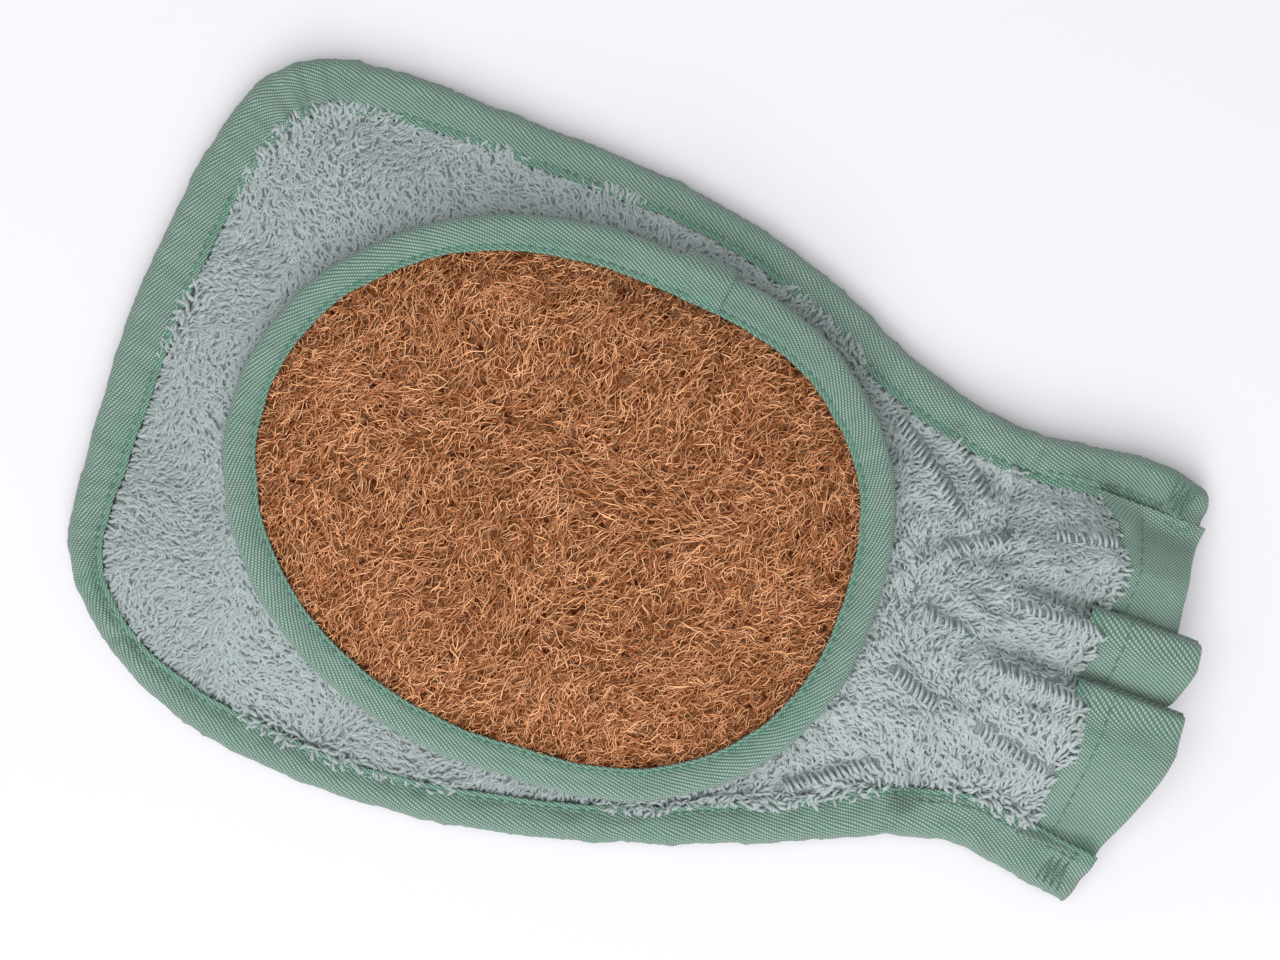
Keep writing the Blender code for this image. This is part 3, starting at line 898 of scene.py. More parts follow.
def edge_tape_at(along, share, sizes):
    width = edge_width(along, sizes)
    inner = EDGE.at(along, width)
    ridge = EDGE.at(along, 5 * MM)
    gathers = corner_share(along, EDGE)
    wrinkle = wander(np.stack([along, share * 14 * MM], -1), 4.2 * MM, 7)
    cross = wander(np.stack([along * 2.2, share * 5 * MM], -1), 4.2 * MM, 8)
    round_end = end_round(along, EDGE.length, 3 * MM)
    top = BINDING_TOP(ridge) + 0.1 * MM
    under = BINDING_UNDER(ridge)
    middle = (top + under) / 2
    half = (top - under) / 2 * (0.35 + 0.65 * round_end)
    inner_top = front_surface(inner) + 1.15 * MM
    inner_under = np.minimum(back_surface(EDGE.at(along, sizes.tape_width)) - 0.55 * MM, under)
    inner_under = np.maximum(inner_under, 0.35 * MM)
    inset, height, facing = tape_section(
        share, width, sizes.tape_width, middle + half, middle - half,
        inner_top, inner_under, EDGE_FOLD, EDGE_SEAM_IN,
    )
    stitch = np.cos(2 * math.pi * along / sizes.stitch_length)
    seam = bump(inset, width - EDGE_SEAM_IN, 1.3 * MM) * np.abs(facing)
    height = height + facing * (
        wrinkle * 0.34 + cross * (0.3 + 0.7 * gathers) - 0.18 * stitch * seam
    ) * MM
    creased = edge_creases(along, share) * np.clip(inset / (2.5 * MM), 0.3, 1)
    height = height - facing * creased
    inset = inset + (1 - np.abs(facing)) * (wrinkle * 0.45 * MM + 1.3 * creased)
    inset = inset + 0.12 * MM * stitch * seam
    waves = np.stack([along, 0 * along], -1)
    inset = inset + wander(waves, 9 * MM, 21) * 0.3 * MM
    scallop = np.abs(np.sin(math.pi * along / (2.3 * MM))) * (0.5 + wander(waves, 12 * MM, 26))
    inset = inset + (1 - np.abs(facing)) * scallop * 0.3 * MM
    corner = 1 - np.clip(inset / (5 * MM), 0, 1)
    back_off = 4 * MM * (1 - np.sqrt(1 - corner ** 2))
    along = along + 0.35 * back_off * smoothstep(1 - along / (12 * MM))
    along = along - back_off * smoothstep(1 - (EDGE.length - along) / (12 * MM))
    points = EDGE.at(along, inset)
    return np.concatenate([points, np.maximum(height, 0.15 * MM)[..., None]], -1)


def tape_run(share, width, under_width, fold, half):
    """Distance across a folded tape's outer face from its upper inner edge."""
    arc = math.pi * np.sqrt((fold ** 2 + half ** 2) / 2)
    upper = np.clip(share / FLAT, 0, 1) * (width - fold)
    turn = np.clip((share - FLAT) / TURN, 0, 1) * arc
    return upper + turn + np.clip((share - FLAT - TURN) / FLAT, 0, 1) * (under_width - fold)


def seam_share(width, fold, seam_in):
    """Share of a folded tape's section at which a seam runs, on its upper side."""
    return FLAT * seam_in / (width - fold)


SECOND_SEAM_IN = 2.7 * MM  # a second seam that holds each end of the tape


def make_edge_tape(sizes, colours):
    length = EDGE.length

    def place(u, v):
        along = u * length
        run = tape_run(v, edge_width(along, sizes), sizes.tape_width, EDGE_FOLD, 3 * MM)
        return edge_tape_at(along, v, sizes), np.stack([along, run], -1)

    tape = cloth("edge_tape", finish_called("bias tape", tape_finish, colours),
                 620, 34, place, 0.6 * MM)
    finish_piece(tape, ["edge_binding"])

    along = np.linspace(3 * MM, length - 3 * MM, 1600)
    line_share = seam_share(edge_width(along, sizes), EDGE_FOLD, EDGE_SEAM_IN)
    front = edge_tape_at(along, line_share, sizes) + UP * 0.12 * MM
    under = edge_tape_at(along, 1 - line_share, sizes) - UP * 0.1 * MM
    rows = [stitches(front, sizes.stitch_length, UP, 0.2 * MM)]
    for first, last in ((3 * MM, 36 * MM), (length - 38 * MM, length - 3 * MM)):
        along = np.linspace(first, last, 160)
        second = seam_share(edge_width(along, sizes), EDGE_FOLD, SECOND_SEAM_IN)
        row = edge_tape_at(along, second, sizes) + UP * 0.1 * MM
        rows.append(stitches(row, sizes.stitch_length, UP, 0.2 * MM))
    bobbin = stitches(under, sizes.stitch_length, -UP, 0.18 * MM)
    sewn("edge_needle_stitches", colours, rows, ["edge_needle_thread"], 31)
    sewn("edge_bobbin_stitches", colours, [bobbin], ["edge_bobbin_thread"], 32)
    for side in ("left", "right"):
        make_tack(side, sizes, colours)


TACK_STITCHES = 6


def make_tack(side, sizes, colours):
    """Bar tack where the edge tape ends at the wrist."""
    node = "corner_tack_" + side
    low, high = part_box(node)
    middle = np.array([(low[0] + high[0]) / 2, (low[1] + high[1]) / 2])
    _, where = EDGE.distance(middle)
    way = EDGE.way(where)[0]
    inwards = np.array([way[1], -way[0]])
    share = np.linspace(-0.5, 0.5, 5)
    lines = []
    for i in range(TACK_STITCHES):
        base = middle + way * (i - (TACK_STITCHES - 1) / 2) * 0.8 * MM
        slant = way * 0.9 * MM * (-1) ** i
        plan = base + share[:, None] * (inwards * 6.5 * MM + slant)
        apart, along = EDGE.distance(plan)
        width = edge_width(along, sizes)
        part = np.clip((width - apart) / (width - EDGE_FOLD), 0, 1) * FLAT
        height = edge_tape_at(along, part, sizes)[:, 2]
        height = (height.max() + height) / 2
        arch = (0.3 * np.cos(np.pi * share) - 0.16) * MM
        lines.append(np.concatenate([plan, (height + arch)[:, None]], 1))
    lines = np.array(lines)
    radii = np.full(lines.shape[:2], 0.16 * MM)
    sewn("wrist_tack_" + side, colours, [(lines, radii)], [node], 40 + len(side))


# Where the pad's tape is wider: direction from the pad's middle, spread, extra.
PAD_CHANGES = [(-0.45, 0.75, 1.7 * MM), (0.2, 0.5, 0.8 * MM)]


def pad_direction(along):
    spot = PAD.at(along) - PAD.xy.mean(0)
    return np.arctan2(spot[..., 1], spot[..., 0])


def pad_width(along, sizes):
    return changed_width(sizes.pad_tape_width, pad_direction(along), PAD_CHANGES)


PAD_LAP = 9 * MM  # how far the end of the pad's tape laps over its start
PAD_UNDER_WIDTH = 7 * MM  # width of the pad's tape on its underside


def pad_lap_start():
    """Length along the pad's edge where its tape starts, on the right side."""
    target = np.array([PAD.xy[:, 0].max(), PAD.xy[:, 1].mean() - 8 * MM])
    return float(PAD.distance(target)[1][0])


def pad_tape_at(along, share, sizes, lap=0.0):
    width = pad_width(along, sizes)
    inner = PAD.at(along, width)
    ridge = PAD.at(along, 3.6 * MM)
    top, under = PAD_TAPE_TOP(ridge) + 0.15 * MM, PAD_TAPE_UNDER(ridge)
    round_about = np.stack([along, share * 12 * MM], -1)
    wrinkle = wander(round_about, 4.0 * MM, 11)
    cross = wander(np.stack([along * 2.4, share * 4 * MM], -1), 4.2 * MM, 12)
    inner_top = loofah_surface(inner) + 0.45 * MM
    inset, height, facing = tape_section(
        share, width, PAD_UNDER_WIDTH, top, under, inner_top, under + 0.4 * MM,
        PAD_FOLD, PAD_SEAM_IN,
    )
    stitch = np.cos(2 * math.pi * along / sizes.stitch_length)
    seam = bump(inset, width - PAD_SEAM_IN, 1.0 * MM) * np.abs(facing)
    height = height + facing * (wrinkle * 0.28 + cross * 0.24 - 0.14 * stitch * seam + lap) * MM
    inset = inset + (1 - np.abs(facing)) * (wrinkle * 0.25 - lap) * MM
    inset = inset + wander(np.stack([along, 0 * along], -1), 8 * MM, 22) * 0.25 * MM
    points = PAD.at(along, inset)
    return np.concatenate([points, height[..., None]], -1)


def make_pad_tape(sizes, colours):
    start = pad_lap_start()
    length = PAD.length + PAD_LAP

    def place(u, v):
        along = u * length
        slant = 11 * MM * (np.clip(v, 0, 0.5) - 0.2)
        lap = smoothstep((along - PAD.length + slant) / (1.8 * MM)) * 1.5
        points = pad_tape_at(start + along, v, sizes, lap)
        run = tape_run(v, pad_width(along, sizes), PAD_UNDER_WIDTH, PAD_FOLD, 2 * MM)
        return points, np.stack([along, run], -1)

    tape = cloth("pad_tape", finish_called("bias tape", tape_finish, colours),
                 460, 30, place, 0.55 * MM)
    finish_piece(tape, ["pad_binding"])

    along = np.linspace(0, PAD.length, 1200)
    part = seam_share(pad_width(along, sizes), PAD_FOLD, PAD_SEAM_IN)
    front = pad_tape_at(along, part, sizes) + UP * 0.12 * MM
    under = pad_tape_at(along, np.full_like(part, 0.94), sizes) - UP * 0.1 * MM
    needle = stitches(front, sizes.stitch_length, UP, 0.19 * MM)
    bobbin = stitches(under, sizes.stitch_length, -UP, 0.18 * MM)
    sewn("pad_needle_stitches", colours, [needle], ["pad_needle_thread"], 33)
    sewn("pad_bobbin_stitches", colours, [bobbin], ["pad_bobbin_thread"], 34)


# Wrist bands

# The gathered front band's free end: x and y, with a step at each fold.
BAND_END = np.array([(-31, -112), (-20, -115.5), (-10, -118), (-4, -119), (2.8, -118),
                     (4.2, -114.5), (6, -115.3), (14, -117), (17.6, -116), (18.8, -111.6),
                     (26, -110.3), (35, -109.4), (43, -110)]) * MM


# Shares of a band's section: on each flat side, and round the fold at its free end.
BAND_FLAT, BAND_TURN = 0.45, 0.1
BACK_HEM_Y, INNER_Y = -96 * MM, -98 * MM  # the back terry's hem, and the bands' inner edges
BAND_FOLD = 1.5 * MM


class Band:
    """One gathered band of tape folded over a panel's wrist end."""

    def __init__(self, node):
        self.low, self.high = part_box(node)
        self.top = Relief(node, step=1.0 * MM, smooth=1.2 * MM)
        self.under = Relief(node, above=False, step=1.0 * MM, smooth=1.2 * MM)
        tree = frame_tree(node)
        self.xs = np.arange(self.low[0] + 1 * MM, self.high[0] - 1 * MM, 1 * MM)
        ends = []
        for x in self.xs:
            hits = []
            for z in np.arange(self.low[2], self.high[2], 0.6 * MM):
                hit = tree.ray_cast(Vector((x, -FAR, z)), Vector((0, 1, 0)))[0]
                if hit:
                    hits.append(hit.y)
            ends.append(min(hits))
        self.ends = np.convolve(np.pad(ends, 3, mode="edge"), np.ones(7) / 7, "valid")

    def end_y(self, x, front):
        """Where the band's free end is."""
        end = np.interp(x, self.xs, self.ends)
        if not front:
            return end + 1.0 * MM
        shape = np.interp(x, BAND_END[:, 0], BAND_END[:, 1])
        return np.maximum(shape, end - 2 * MM)

    def at(self, x, share, front):
        """Points of its outer face, from the upper inner edge round the fold to the lower."""
        hem = hem_y(x) if front else np.full_like(x, BACK_HEM_Y)
        start = hem + 2.5 * MM
        end = self.end_y(x, front)
        turn = np.clip((share - BAND_FLAT) / BAND_TURN, 0, 1)
        angle = math.pi * (0.5 - turn)
        inner = np.where(share < 0.5, start, INNER_Y)
        flat = np.clip(np.where(share < 0.5, share, 1 - share) / BAND_FLAT, 0, 1)
        y = np.where(
            (share >= BAND_FLAT) & (share <= 1 - BAND_FLAT),
            end + BAND_FOLD * (1 - np.cos(angle)), inner + (end + BAND_FOLD - inner) * flat,
        )
        xy = np.stack([x, y], -1)
        safe = np.stack([x, np.maximum(y, end + 1.6 * MM)], -1)
        top, under = self.top(safe), self.under(safe)
        middle, half = (top + under) / 2, (top - under) / 2
        side = np.where(share < BAND_FLAT, 1.0,
                        np.where(share > 1 - BAND_FLAT, -1.0, np.sin(angle)))
        z = middle + half * side
        z = z + (lobes(xy) if front else 0.25 * lobes(xy))
        if front:
            tucked = smoothstep((x - 38 * MM) / (5 * MM)) + smoothstep((-25 * MM - x) / (5 * MM))
            z = z - 0.8 * MM * np.clip(side, 0, 1) - 1.5 * MM * tucked
            under_pile = smoothstep((y - hem + 1.2 * MM) / (1.4 * MM)) * np.clip(side, 0, 1)
            z = z * (1 - under_pile) + (front_surface(xy) - 0.5 * MM) * under_pile
        pulled = bump(y, seam_y(x), 1.0 * MM) * np.abs(side)
        crease = wander(np.stack([x, y * 0.35], -1), 3.4 * MM, 15 if front else 16)
        z = z - side * 0.35 * MM * pulled + (0.3 if front else 0.2) * MM * crease
        z = z + 0.35 * MM * bump(y, end + 4 * MM, 3 * MM) * side
        lean = np.zeros_like(x)
        if front:
            for left, right, crest, _ in LOBES[:2]:
                lean += 2.6 * MM * bump(x, left + crest * (right - left) + 0.6 * MM, 2.0 * MM)
        else:
            aside = np.maximum(self.low[0] - x, x - self.high[0])
            z = z + 0.9 * MM * smoothstep((aside + 1 * MM) / (3 * MM))
        return np.stack([x + lean, y, np.maximum(z, 0.2 * MM)], -1)


def make_band(node, name, front, colours, band):
    beyond = 1.5 * MM if front else 5 * MM
    left, right = band.low[0] - beyond, band.high[0] + beyond

    def place(u, v):
        x = left + (right - left) * u
        return band.at(x, v, front), np.stack([x * 1.12, v * 44 * MM], -1)

    tape = cloth(name, finish_called("bias tape across", tape_finish, colours,
                                     "bias tape across", 1.1),
                 230, 64, place, 0.6 * MM)
    finish_piece(tape, [node])


def seam_on_band(band, front, side, x_range, sizes):
    """Stitches along the bands' seam, on a band's upper (1) or lower (-1) side."""
    x = np.linspace(*x_range, 260)
    best = np.full((len(x), 3), np.nan)
    shares = np.linspace(0.0, BAND_FLAT, 60) if side > 0 else np.linspace(1 - BAND_FLAT, 1.0, 60)
    target = seam_y(x)
    for share in shares:
        point = band.at(x, 0 * x + share, front)
        closer = np.isnan(best[:, 0]) | (np.abs(point[:, 1] - target) < np.abs(best[:, 1] - target))
        best[closer] = point[closer]
    best += UP * 0.1 * MM * side
    return stitches(best, sizes.stitch_length, UP * side, 0.19 * MM)


def make_wrist(sizes, colours):
    front_band, back_band = Band("cuff_band_front"), Band("cuff_band_back")
    make_band("cuff_band_front", "wrist_band_front", True, colours, front_band)
    make_band("cuff_band_back", "wrist_band_back", False, colours, back_band)
    reach = (front_band.low[0] + 1 * MM, front_band.high[0] - 1 * MM)
    rows = {
        "wrist_front_needle_stitches": (front_band, True, 1, "cuff_front_needle_thread"),
        "wrist_front_bobbin_stitches": (front_band, True, -1, "cuff_front_bobbin_thread"),
        "wrist_back_needle_stitches": (back_band, False, -1, "cuff_back_needle_thread"),
    }
    for i, (name, (band, front, side, node)) in enumerate(rows.items()):
        row = seam_on_band(band, front, side, reach, sizes)
        sewn(name, colours, [row], [node], 50 + i)
    for side in ("front", "back"):
        make_elastic(side)
        make_zigzag(side, sizes, colours)


# The gap colour is painted shade between the elastic's yarns.
ELASTIC_YARN, ELASTIC_GAP_SHADE = (0.62, 0.62, 0.58), (0.35, 0.36, 0.34)
ELASTIC_ENDS_DOWN = {"front": 2.8 * MM, "back": 0.3 * MM}


def make_elastic(side):
    node = "wrist_elastic_" + side
    low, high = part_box(node)
    top = Relief(node, step=1.0 * MM, smooth=1.2 * MM)

    def place(u, v):
        x = low[0] + (high[0] - low[0]) * u
        y = low[1] + (high[1] - low[1]) * v
        ends = smoothstep(1 - np.minimum(x - low[0], high[0] - x) / (14 * MM))
        xy = np.stack([x, y], -1)
        z = top(xy) - 0.3 * MM - ELASTIC_ENDS_DOWN[side] * ends
        if side == "front":
            z = np.minimum(z, front_surface(xy) - 1.0 * MM)
        z = z + 0.12 * MM * np.sin(2 * math.pi * x / (2.4 * MM))
        return np.stack([x, y, z], -1), xy

    finish = finish_called("woven elastic", plain_weave_finish, "woven elastic",
                           ELASTIC_YARN, ELASTIC_GAP_SHADE, 0.5 * MM)
    strip = cloth("wrist_band_elastic_" + side, finish, 150, 8, place, 0.5 * MM)
    finish_piece(strip, [node])


def make_zigzag(side, sizes, colours):
    node = "elastic_zigzag_" + side
    low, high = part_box(node)
    pitch = 2.6 * MM
    count = int((high[0] - low[0]) / pitch)
    xs = np.linspace(low[0], high[0], count + 1)
    ys = np.where(np.arange(count + 1) % 2, low[1] + 0.4 * MM, high[1] - 0.4 * MM)
    share = np.linspace(0, 1, 5)
    lines = []
    corners = np.stack([xs, ys], -1)
    for start, end in zip(corners, corners[1:]):
        plan = start + (end - start) * share[:, None]
        if side == "front":
            apart, where = EDGE.distance(plan)
            under = smoothstep((edge_width(where, sizes) + 2 * MM - apart) / (3 * MM))
            z = front_surface(plan) + 0.25 * MM - 2.5 * MM * under
        else:
            z = np.maximum(back_surface(plan) - 0.3 * MM, 0.3 * MM)
        lines.append(np.concatenate([plan, z[:, None]], 1))
    lines = np.array(lines)
    radii = np.full(lines.shape[:2], 0.19 * MM)
    sewn("elastic_stitches_" + side, colours, [(lines, radii)], [node], 60 + len(side))


# Terry


def panel_corners():
    """Lengths along the edge at a terry panel's upper left and right and lower ones."""
    low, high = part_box("front_panel")
    _, where = EDGE.distance(np.array([
        (low[0] + 0.07 * (high[0] - low[0]), high[1] - 17 * MM),
        (high[0] - 0.02 * (high[0] - low[0]), high[1] - 17 * MM),
        (EDGE.at(0.0)[0], low[1]), (EDGE.at(EDGE.length)[0], low[1]),
    ]))
    return where


def panel_place(u, v, inset):
    """Points in plan over a whole panel: u runs from its left to its right, v to its tips."""
    left_top, right_top, left_low, right_low = panel_corners()
    left = EDGE.at(left_low + (left_top - left_low) * v, inset + 0 * v)
    right = EDGE.at(right_low + (right_top - right_low) * v, inset + 0 * v)
    tips = EDGE.at(left_top + (right_top - left_top) * u, inset + 0 * u)
    a, b = EDGE.at(left_low, inset), EDGE.at(right_low, inset)
    c, d = EDGE.at(left_top, inset), EDGE.at(right_top, inset)
    u, v = u[..., None], v[..., None]
    wrist = a + (b - a) * u
    flat = (1 - v) * ((1 - u) * a + u * b) + v * ((1 - u) * c + u * d)
    return (1 - v) * wrist + v * tips + (1 - u) * left + u * right - flat


GROUND_INSET = 2.4 * MM  # from the mitt's edge to the edge of the cloth inside its tape


def make_ground(side, sizes, colours):
    outer = side == "front"
    surface = front_surface if outer else back_surface

    def place(u, v):
        xy = panel_place(u, v, GROUND_INSET)
        if outer:
            past = np.maximum(0, hem_y(xy[:, 0]) - 2 * MM - xy[:, 1])
            xy = xy + 0.85 * past[:, None] * np.array([0, 1])
        z = surface(xy)
        apart, where = EDGE.distance(xy)
        if outer:
            past_tape = apart - edge_width(where, sizes)
            z = z - 2.6 * MM * smoothstep(1 - (past_tape + 2.7 * MM) / (4.2 * MM))
            z = z - 2.0 * MM * smoothstep((hem_y(xy[:, 0]) + 1 * MM - xy[:, 1]) / (2.5 * MM))
        else:
            z = np.maximum(z, 0.45 * MM)
        return np.concatenate([xy, z[:, None]], 1), xy

    ground = cloth("terry_%s_ground" % side, finish_called("terry ground", ground_finish, colours),
                   100, 150, place, 0.7 * MM, outer_up=outer)
    finish_piece(ground, ["%s_panel" % side])
    return ground


def scattered(spacing, seed, low, high, jitter=0.42):
    """Points in staggered rows over a box in plan, each moved a little."""
    rng = np.random.default_rng(seed)
    columns = np.arange(low[0], high[0], spacing)
    rows = np.arange(low[1], high[1], spacing)
    x, y = np.meshgrid(columns, rows)
    x = x + (np.arange(len(rows)) % 2)[:, None] * spacing / 2
    spots = np.stack([x.ravel(), y.ravel()], -1)
    return spots + rng.uniform(-jitter, jitter, spots.shape) * spacing, rng


def in_panel(xy, inset, wrist_y):
    """Which points lie on a panel, how far in from the mitt's edge, and where along it."""
    apart, where = EDGE.distance(xy)
    return EDGE.inside(xy) & (apart > inset(where)) & (xy[:, 1] > wrist_y(xy[:, 0])), apart, where


TAPE_LAP = 0.6 * MM  # how far loops start in under the tape
BACK_PILE_Y = -97 * MM  # where the back's loops end at the wrist


def loops(spots, rng, surface, out, sizes, lengths, heights, heading, points, stray=0.5 * MM):
    """Lines and radii of terry loops that rise from the ground, lie over and go back in."""
    share = np.linspace(0, 1, points)
    count = len(spots)
    way = np.stack([np.cos(heading), np.sin(heading)], -1)
    side = np.stack([-way[:, 1], way[:, 0]], -1)
    curl = rng.normal(0, stray, count)
    wave = rng.normal(0, 0.6 * stray, count)
    arch = np.sin(np.pi * share) ** 0.5
    plan = spots[:, None] + way[:, None] * (lengths[:, None] * share)[..., None]
    plan = plan + side[:, None] * (
        curl[:, None] * arch + wave[:, None] * np.sin(2 * np.pi * share)
    )[..., None]
    z = surface(plan.reshape(-1, 2)).reshape(count, points)
    z = z + out * (heights[:, None] * arch - 0.15 * MM)
    lines = np.concatenate([plan, z[..., None]], -1)
    width = sizes.pile_width / 2 * rng.uniform(0.8, 1.2, count)
    radii = width[:, None] * (0.84 + 0.16 * np.sin(np.pi * share))
    return lines, radii


# Ridges near the wrist where a row of loops stands open, side by side.
RIDGES = np.array([
    ((0.5, -77), (-0.5, -97)), ((14, -76), (15, -94)), ((-13, -80), (-17, -96)),
    ((27, -61), (43, -41)), ((33, -64), (43, -54)), ((-28, -62), (-40, -45)),
    ((6, -60), (5, -70)), ((-8, -59), (-12, -70)), ((20, -60), (26, -71)),
    ((31, -80), (34, -93)),
]) * MM


def ridge_distance(xy):
    """Distance from the nearest ridge."""
    apart = np.full(len(xy), 1.0)
    for start, end in RIDGES:
        share = ((xy - start) @ (end - start)) / ((end - start) @ (end - start))
        nearest = start + np.clip(share, 0, 1)[:, None] * (end - start)
        apart = np.minimum(apart, np.linalg.norm(xy - nearest, axis=1))
    return apart


# The ridge loops take a light shade: a painted highlight on the raised rows.
RIDGE_PITCH, RIDGE_HIGHLIGHT = 1.3 * MM, 0.9


def ridge_loops(rng, sizes):
    """Lines and radii of the rows of open loops on the ridges."""
    lines, radii = [], []
    for start, end in RIDGES:
        length = np.linalg.norm(end - start)
        count = int(length / RIDGE_PITCH)
        spots = start + (end - start) * ((np.arange(count) + 0.5) / count)[:, None]
        way = (end - start) / length
        aside = np.array([-way[1], way[0]]) * 1.5 * MM
        spots = spots - aside + rng.normal(0, 0.1 * MM, spots.shape)
        heading = np.arctan2(way[0], -way[1]) + 0.35 + rng.normal(0, 0.05, count)
        lengths = np.full(count, 3.0 * MM)
        heights = rng.uniform(1.3, 1.7, count) * MM
        made = loops(spots, rng, front_surface, 1.0, sizes, lengths, heights, heading, 6, 0.1 * MM)
        lines.append(made[0])
        radii.append(made[1])
    return np.concatenate(lines), np.concatenate(radii)


def turn_between(heading, wanted):
    """The shorter turn from one heading to another."""
    return (wanted - heading + math.pi) % (2 * math.pi) - math.pi


def make_front_pile(sizes, colours):
    low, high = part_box("front_panel")
    spots, rng = scattered(sizes.pile_spacing, 5, low, high)
    keep, apart, where = in_panel(spots, lambda s: edge_width(s, sizes) - TAPE_LAP,
                                  lambda x: hem_y(x) - 0.3 * MM)
    under_pad = PAD.inside(spots) & (PAD.distance(spots)[0] > 4 * MM)
    keep &= ~under_pad & (ridge_distance(spots) > 1.5 * MM)
    spots, apart, where = spots[keep], apart[keep], where[keep]
    count = len(spots)
    flow = 2.8 * wander(spots, 22 * MM, 5, 1) + rng.normal(0, 0.4, count) - 0.4
    lengths = sizes.pile_length * rng.uniform(0.75, 1.25, count)
    heights = rng.uniform(0.5, 0.95, count) * MM
    worn = smoothstep((spots[:, 1] + 30 * MM) / (40 * MM))
    heights = heights * (1 - 0.35 * worn)
    # Near the tape the loops lie out over its inner edge.
    to_tape = apart - edge_width(where, sizes)
    near = smoothstep(1 - to_tape / (2.6 * MM))
    way = EDGE.way(where)
    outwards = np.arctan2(way[:, 0], -way[:, 1])
    turn = turn_between(flow, outwards)
    patchy = smoothstep(0.5 + 1.6 * wander(spots, 17 * MM, 25, 1))
    overhang = near * (2 * patchy - 1) * rng.uniform(0.4, 1.0, count)
    heading = flow + np.where(overhang > 0, turn, turn - math.pi * np.sign(turn)) * abs(overhang)
    heights = heights + near * (1.1 * patchy - 0.2) * MM
    at_hem = smoothstep(1 - (spots[:, 1] - hem_y(spots[:, 0])) / (2.5 * MM))
    turn = turn_between(heading, -math.pi / 2)
    heading = heading + turn * at_hem * rng.uniform(0.4, 1.0, count)
    heights = heights + at_hem * 0.5 * MM
    heights = heights * (1 - 0.5 * smoothstep(2.0 - ridge_distance(spots) / (1.5 * MM)))
    lying = loops(spots, rng, front_surface, 1.0, sizes, lengths, heights, heading, 6)
    lines, radii = (np.concatenate(both) for both in zip(lying, ridge_loops(rng, sizes)))
    shades = 0.4 + 0.9 * wander(lines[:, 2, :2], 3.2 * MM, 26, 1) + rng.normal(0, 0.16, len(lines))
    # Loops grow lighter towards the wrist end: painted light, and also the less rubbed loops there.
    shades = shades + 0.45 * smoothstep((-25 * MM - lines[:, 2, 1]) / (30 * MM))
    shades[count:] = RIDGE_HIGHLIGHT
    return pile_pieces("terry_front_pile", lines, radii, shades, colours)


def make_back_pile(sizes, colours):
    low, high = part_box("back_panel")
    spots, rng = scattered(sizes.pile_spacing * 1.36, 6, low, high)
    keep, _, _ = in_panel(spots, lambda s: sizes.tape_width - TAPE_LAP, lambda x: BACK_PILE_Y)
    spots = spots[keep]
    count = len(spots)
    heading = 2.6 * wander(spots, 26 * MM, 6, 1) + rng.normal(0, 0.5, count)
    lengths = sizes.pile_length * rng.uniform(0.95, 1.45, count)
    heights = rng.uniform(0.5, 0.95, count) * MM
    lines, radii = loops(spots, rng, back_surface, -1.0, sizes, lengths, heights, heading, 5)
    lines[..., 2] = np.maximum(lines[..., 2], radii)
    shades = 0.5 + 0.3 * rng.normal(size=count)
    return pile_pieces("terry_back_pile", lines, radii, shades, colours)


def pile_pieces(name, lines, radii, shades, colours):
    finish = finish_called("terry pile", pile_finish, colours)
    shades = np.clip(shades, 0, 1)
    return strand_pieces(name, finish, lines, radii, shades, lines[:, 0, 1])


# Loofah


def loofah_surface(xy):
    xy = np.asarray(xy)
    return LOOFAH(xy) + wander(xy, 13 * MM, 9, 1) * 0.35 * MM


def inside_pad(angle, share, inset):
    """Points in plan at a share of the way from the pad's middle to its edge."""
    centre = PAD.xy.mean(0)
    outline = PAD.at(PAD.run, inset) - centre
    turn = np.arctan2(outline[:, 1], outline[:, 0])
    order = np.argsort(turn)
    reach = np.interp(angle, turn[order], np.hypot(outline[:, 0], outline[:, 1])[order],
                      period=2 * math.pi)
    return centre + np.stack([np.cos(angle), np.sin(angle)], -1) * (reach * share)[:, None]


CORE_DEPTH = 4.6 * MM  # from the pad's top down to the core's underside


def make_loofah(sizes, colours):
    mesh = bpy.data.meshes.new("loofah_core")
    bm = bmesh.new()
    bmesh.ops.create_uvsphere(bm, u_segments=180, v_segments=72, radius=1.0)
    unit = np.array([v.co[:] for v in bm.verts])
    out = np.clip(np.hypot(unit[:, 0], unit[:, 1]), 0, 1)
    plan = inside_pad(np.arctan2(unit[:, 1], unit[:, 0]), out, 2.2 * MM)
    top = loofah_surface(plan) - 0.7 * MM
    base = LOOFAH(plan) - CORE_DEPTH
    middle = top * 0.55 + base * 0.45
    flatness = np.sqrt(np.maximum(0, 1 - out ** 6))
    z = np.where(unit[:, 2] > 0, middle + (top - middle) * flatness,
                 middle - (middle - base) * flatness)
    for vert, x, y, height in zip(bm.verts, plan[:, 0], plan[:, 1], z):
        vert.co = (x, y, height)
    bmesh.ops.recalc_face_normals(bm, faces=bm.faces)
    bm.to_mesh(mesh)
    bm.free()
    mesh.shade_smooth()
    core = new_object("loofah_core", mesh, finish_called("loofah core", core_finish, colours))
    finish_piece(core, ["loofah_pad"])
    make_fibres(sizes, colours)
    make_backing()


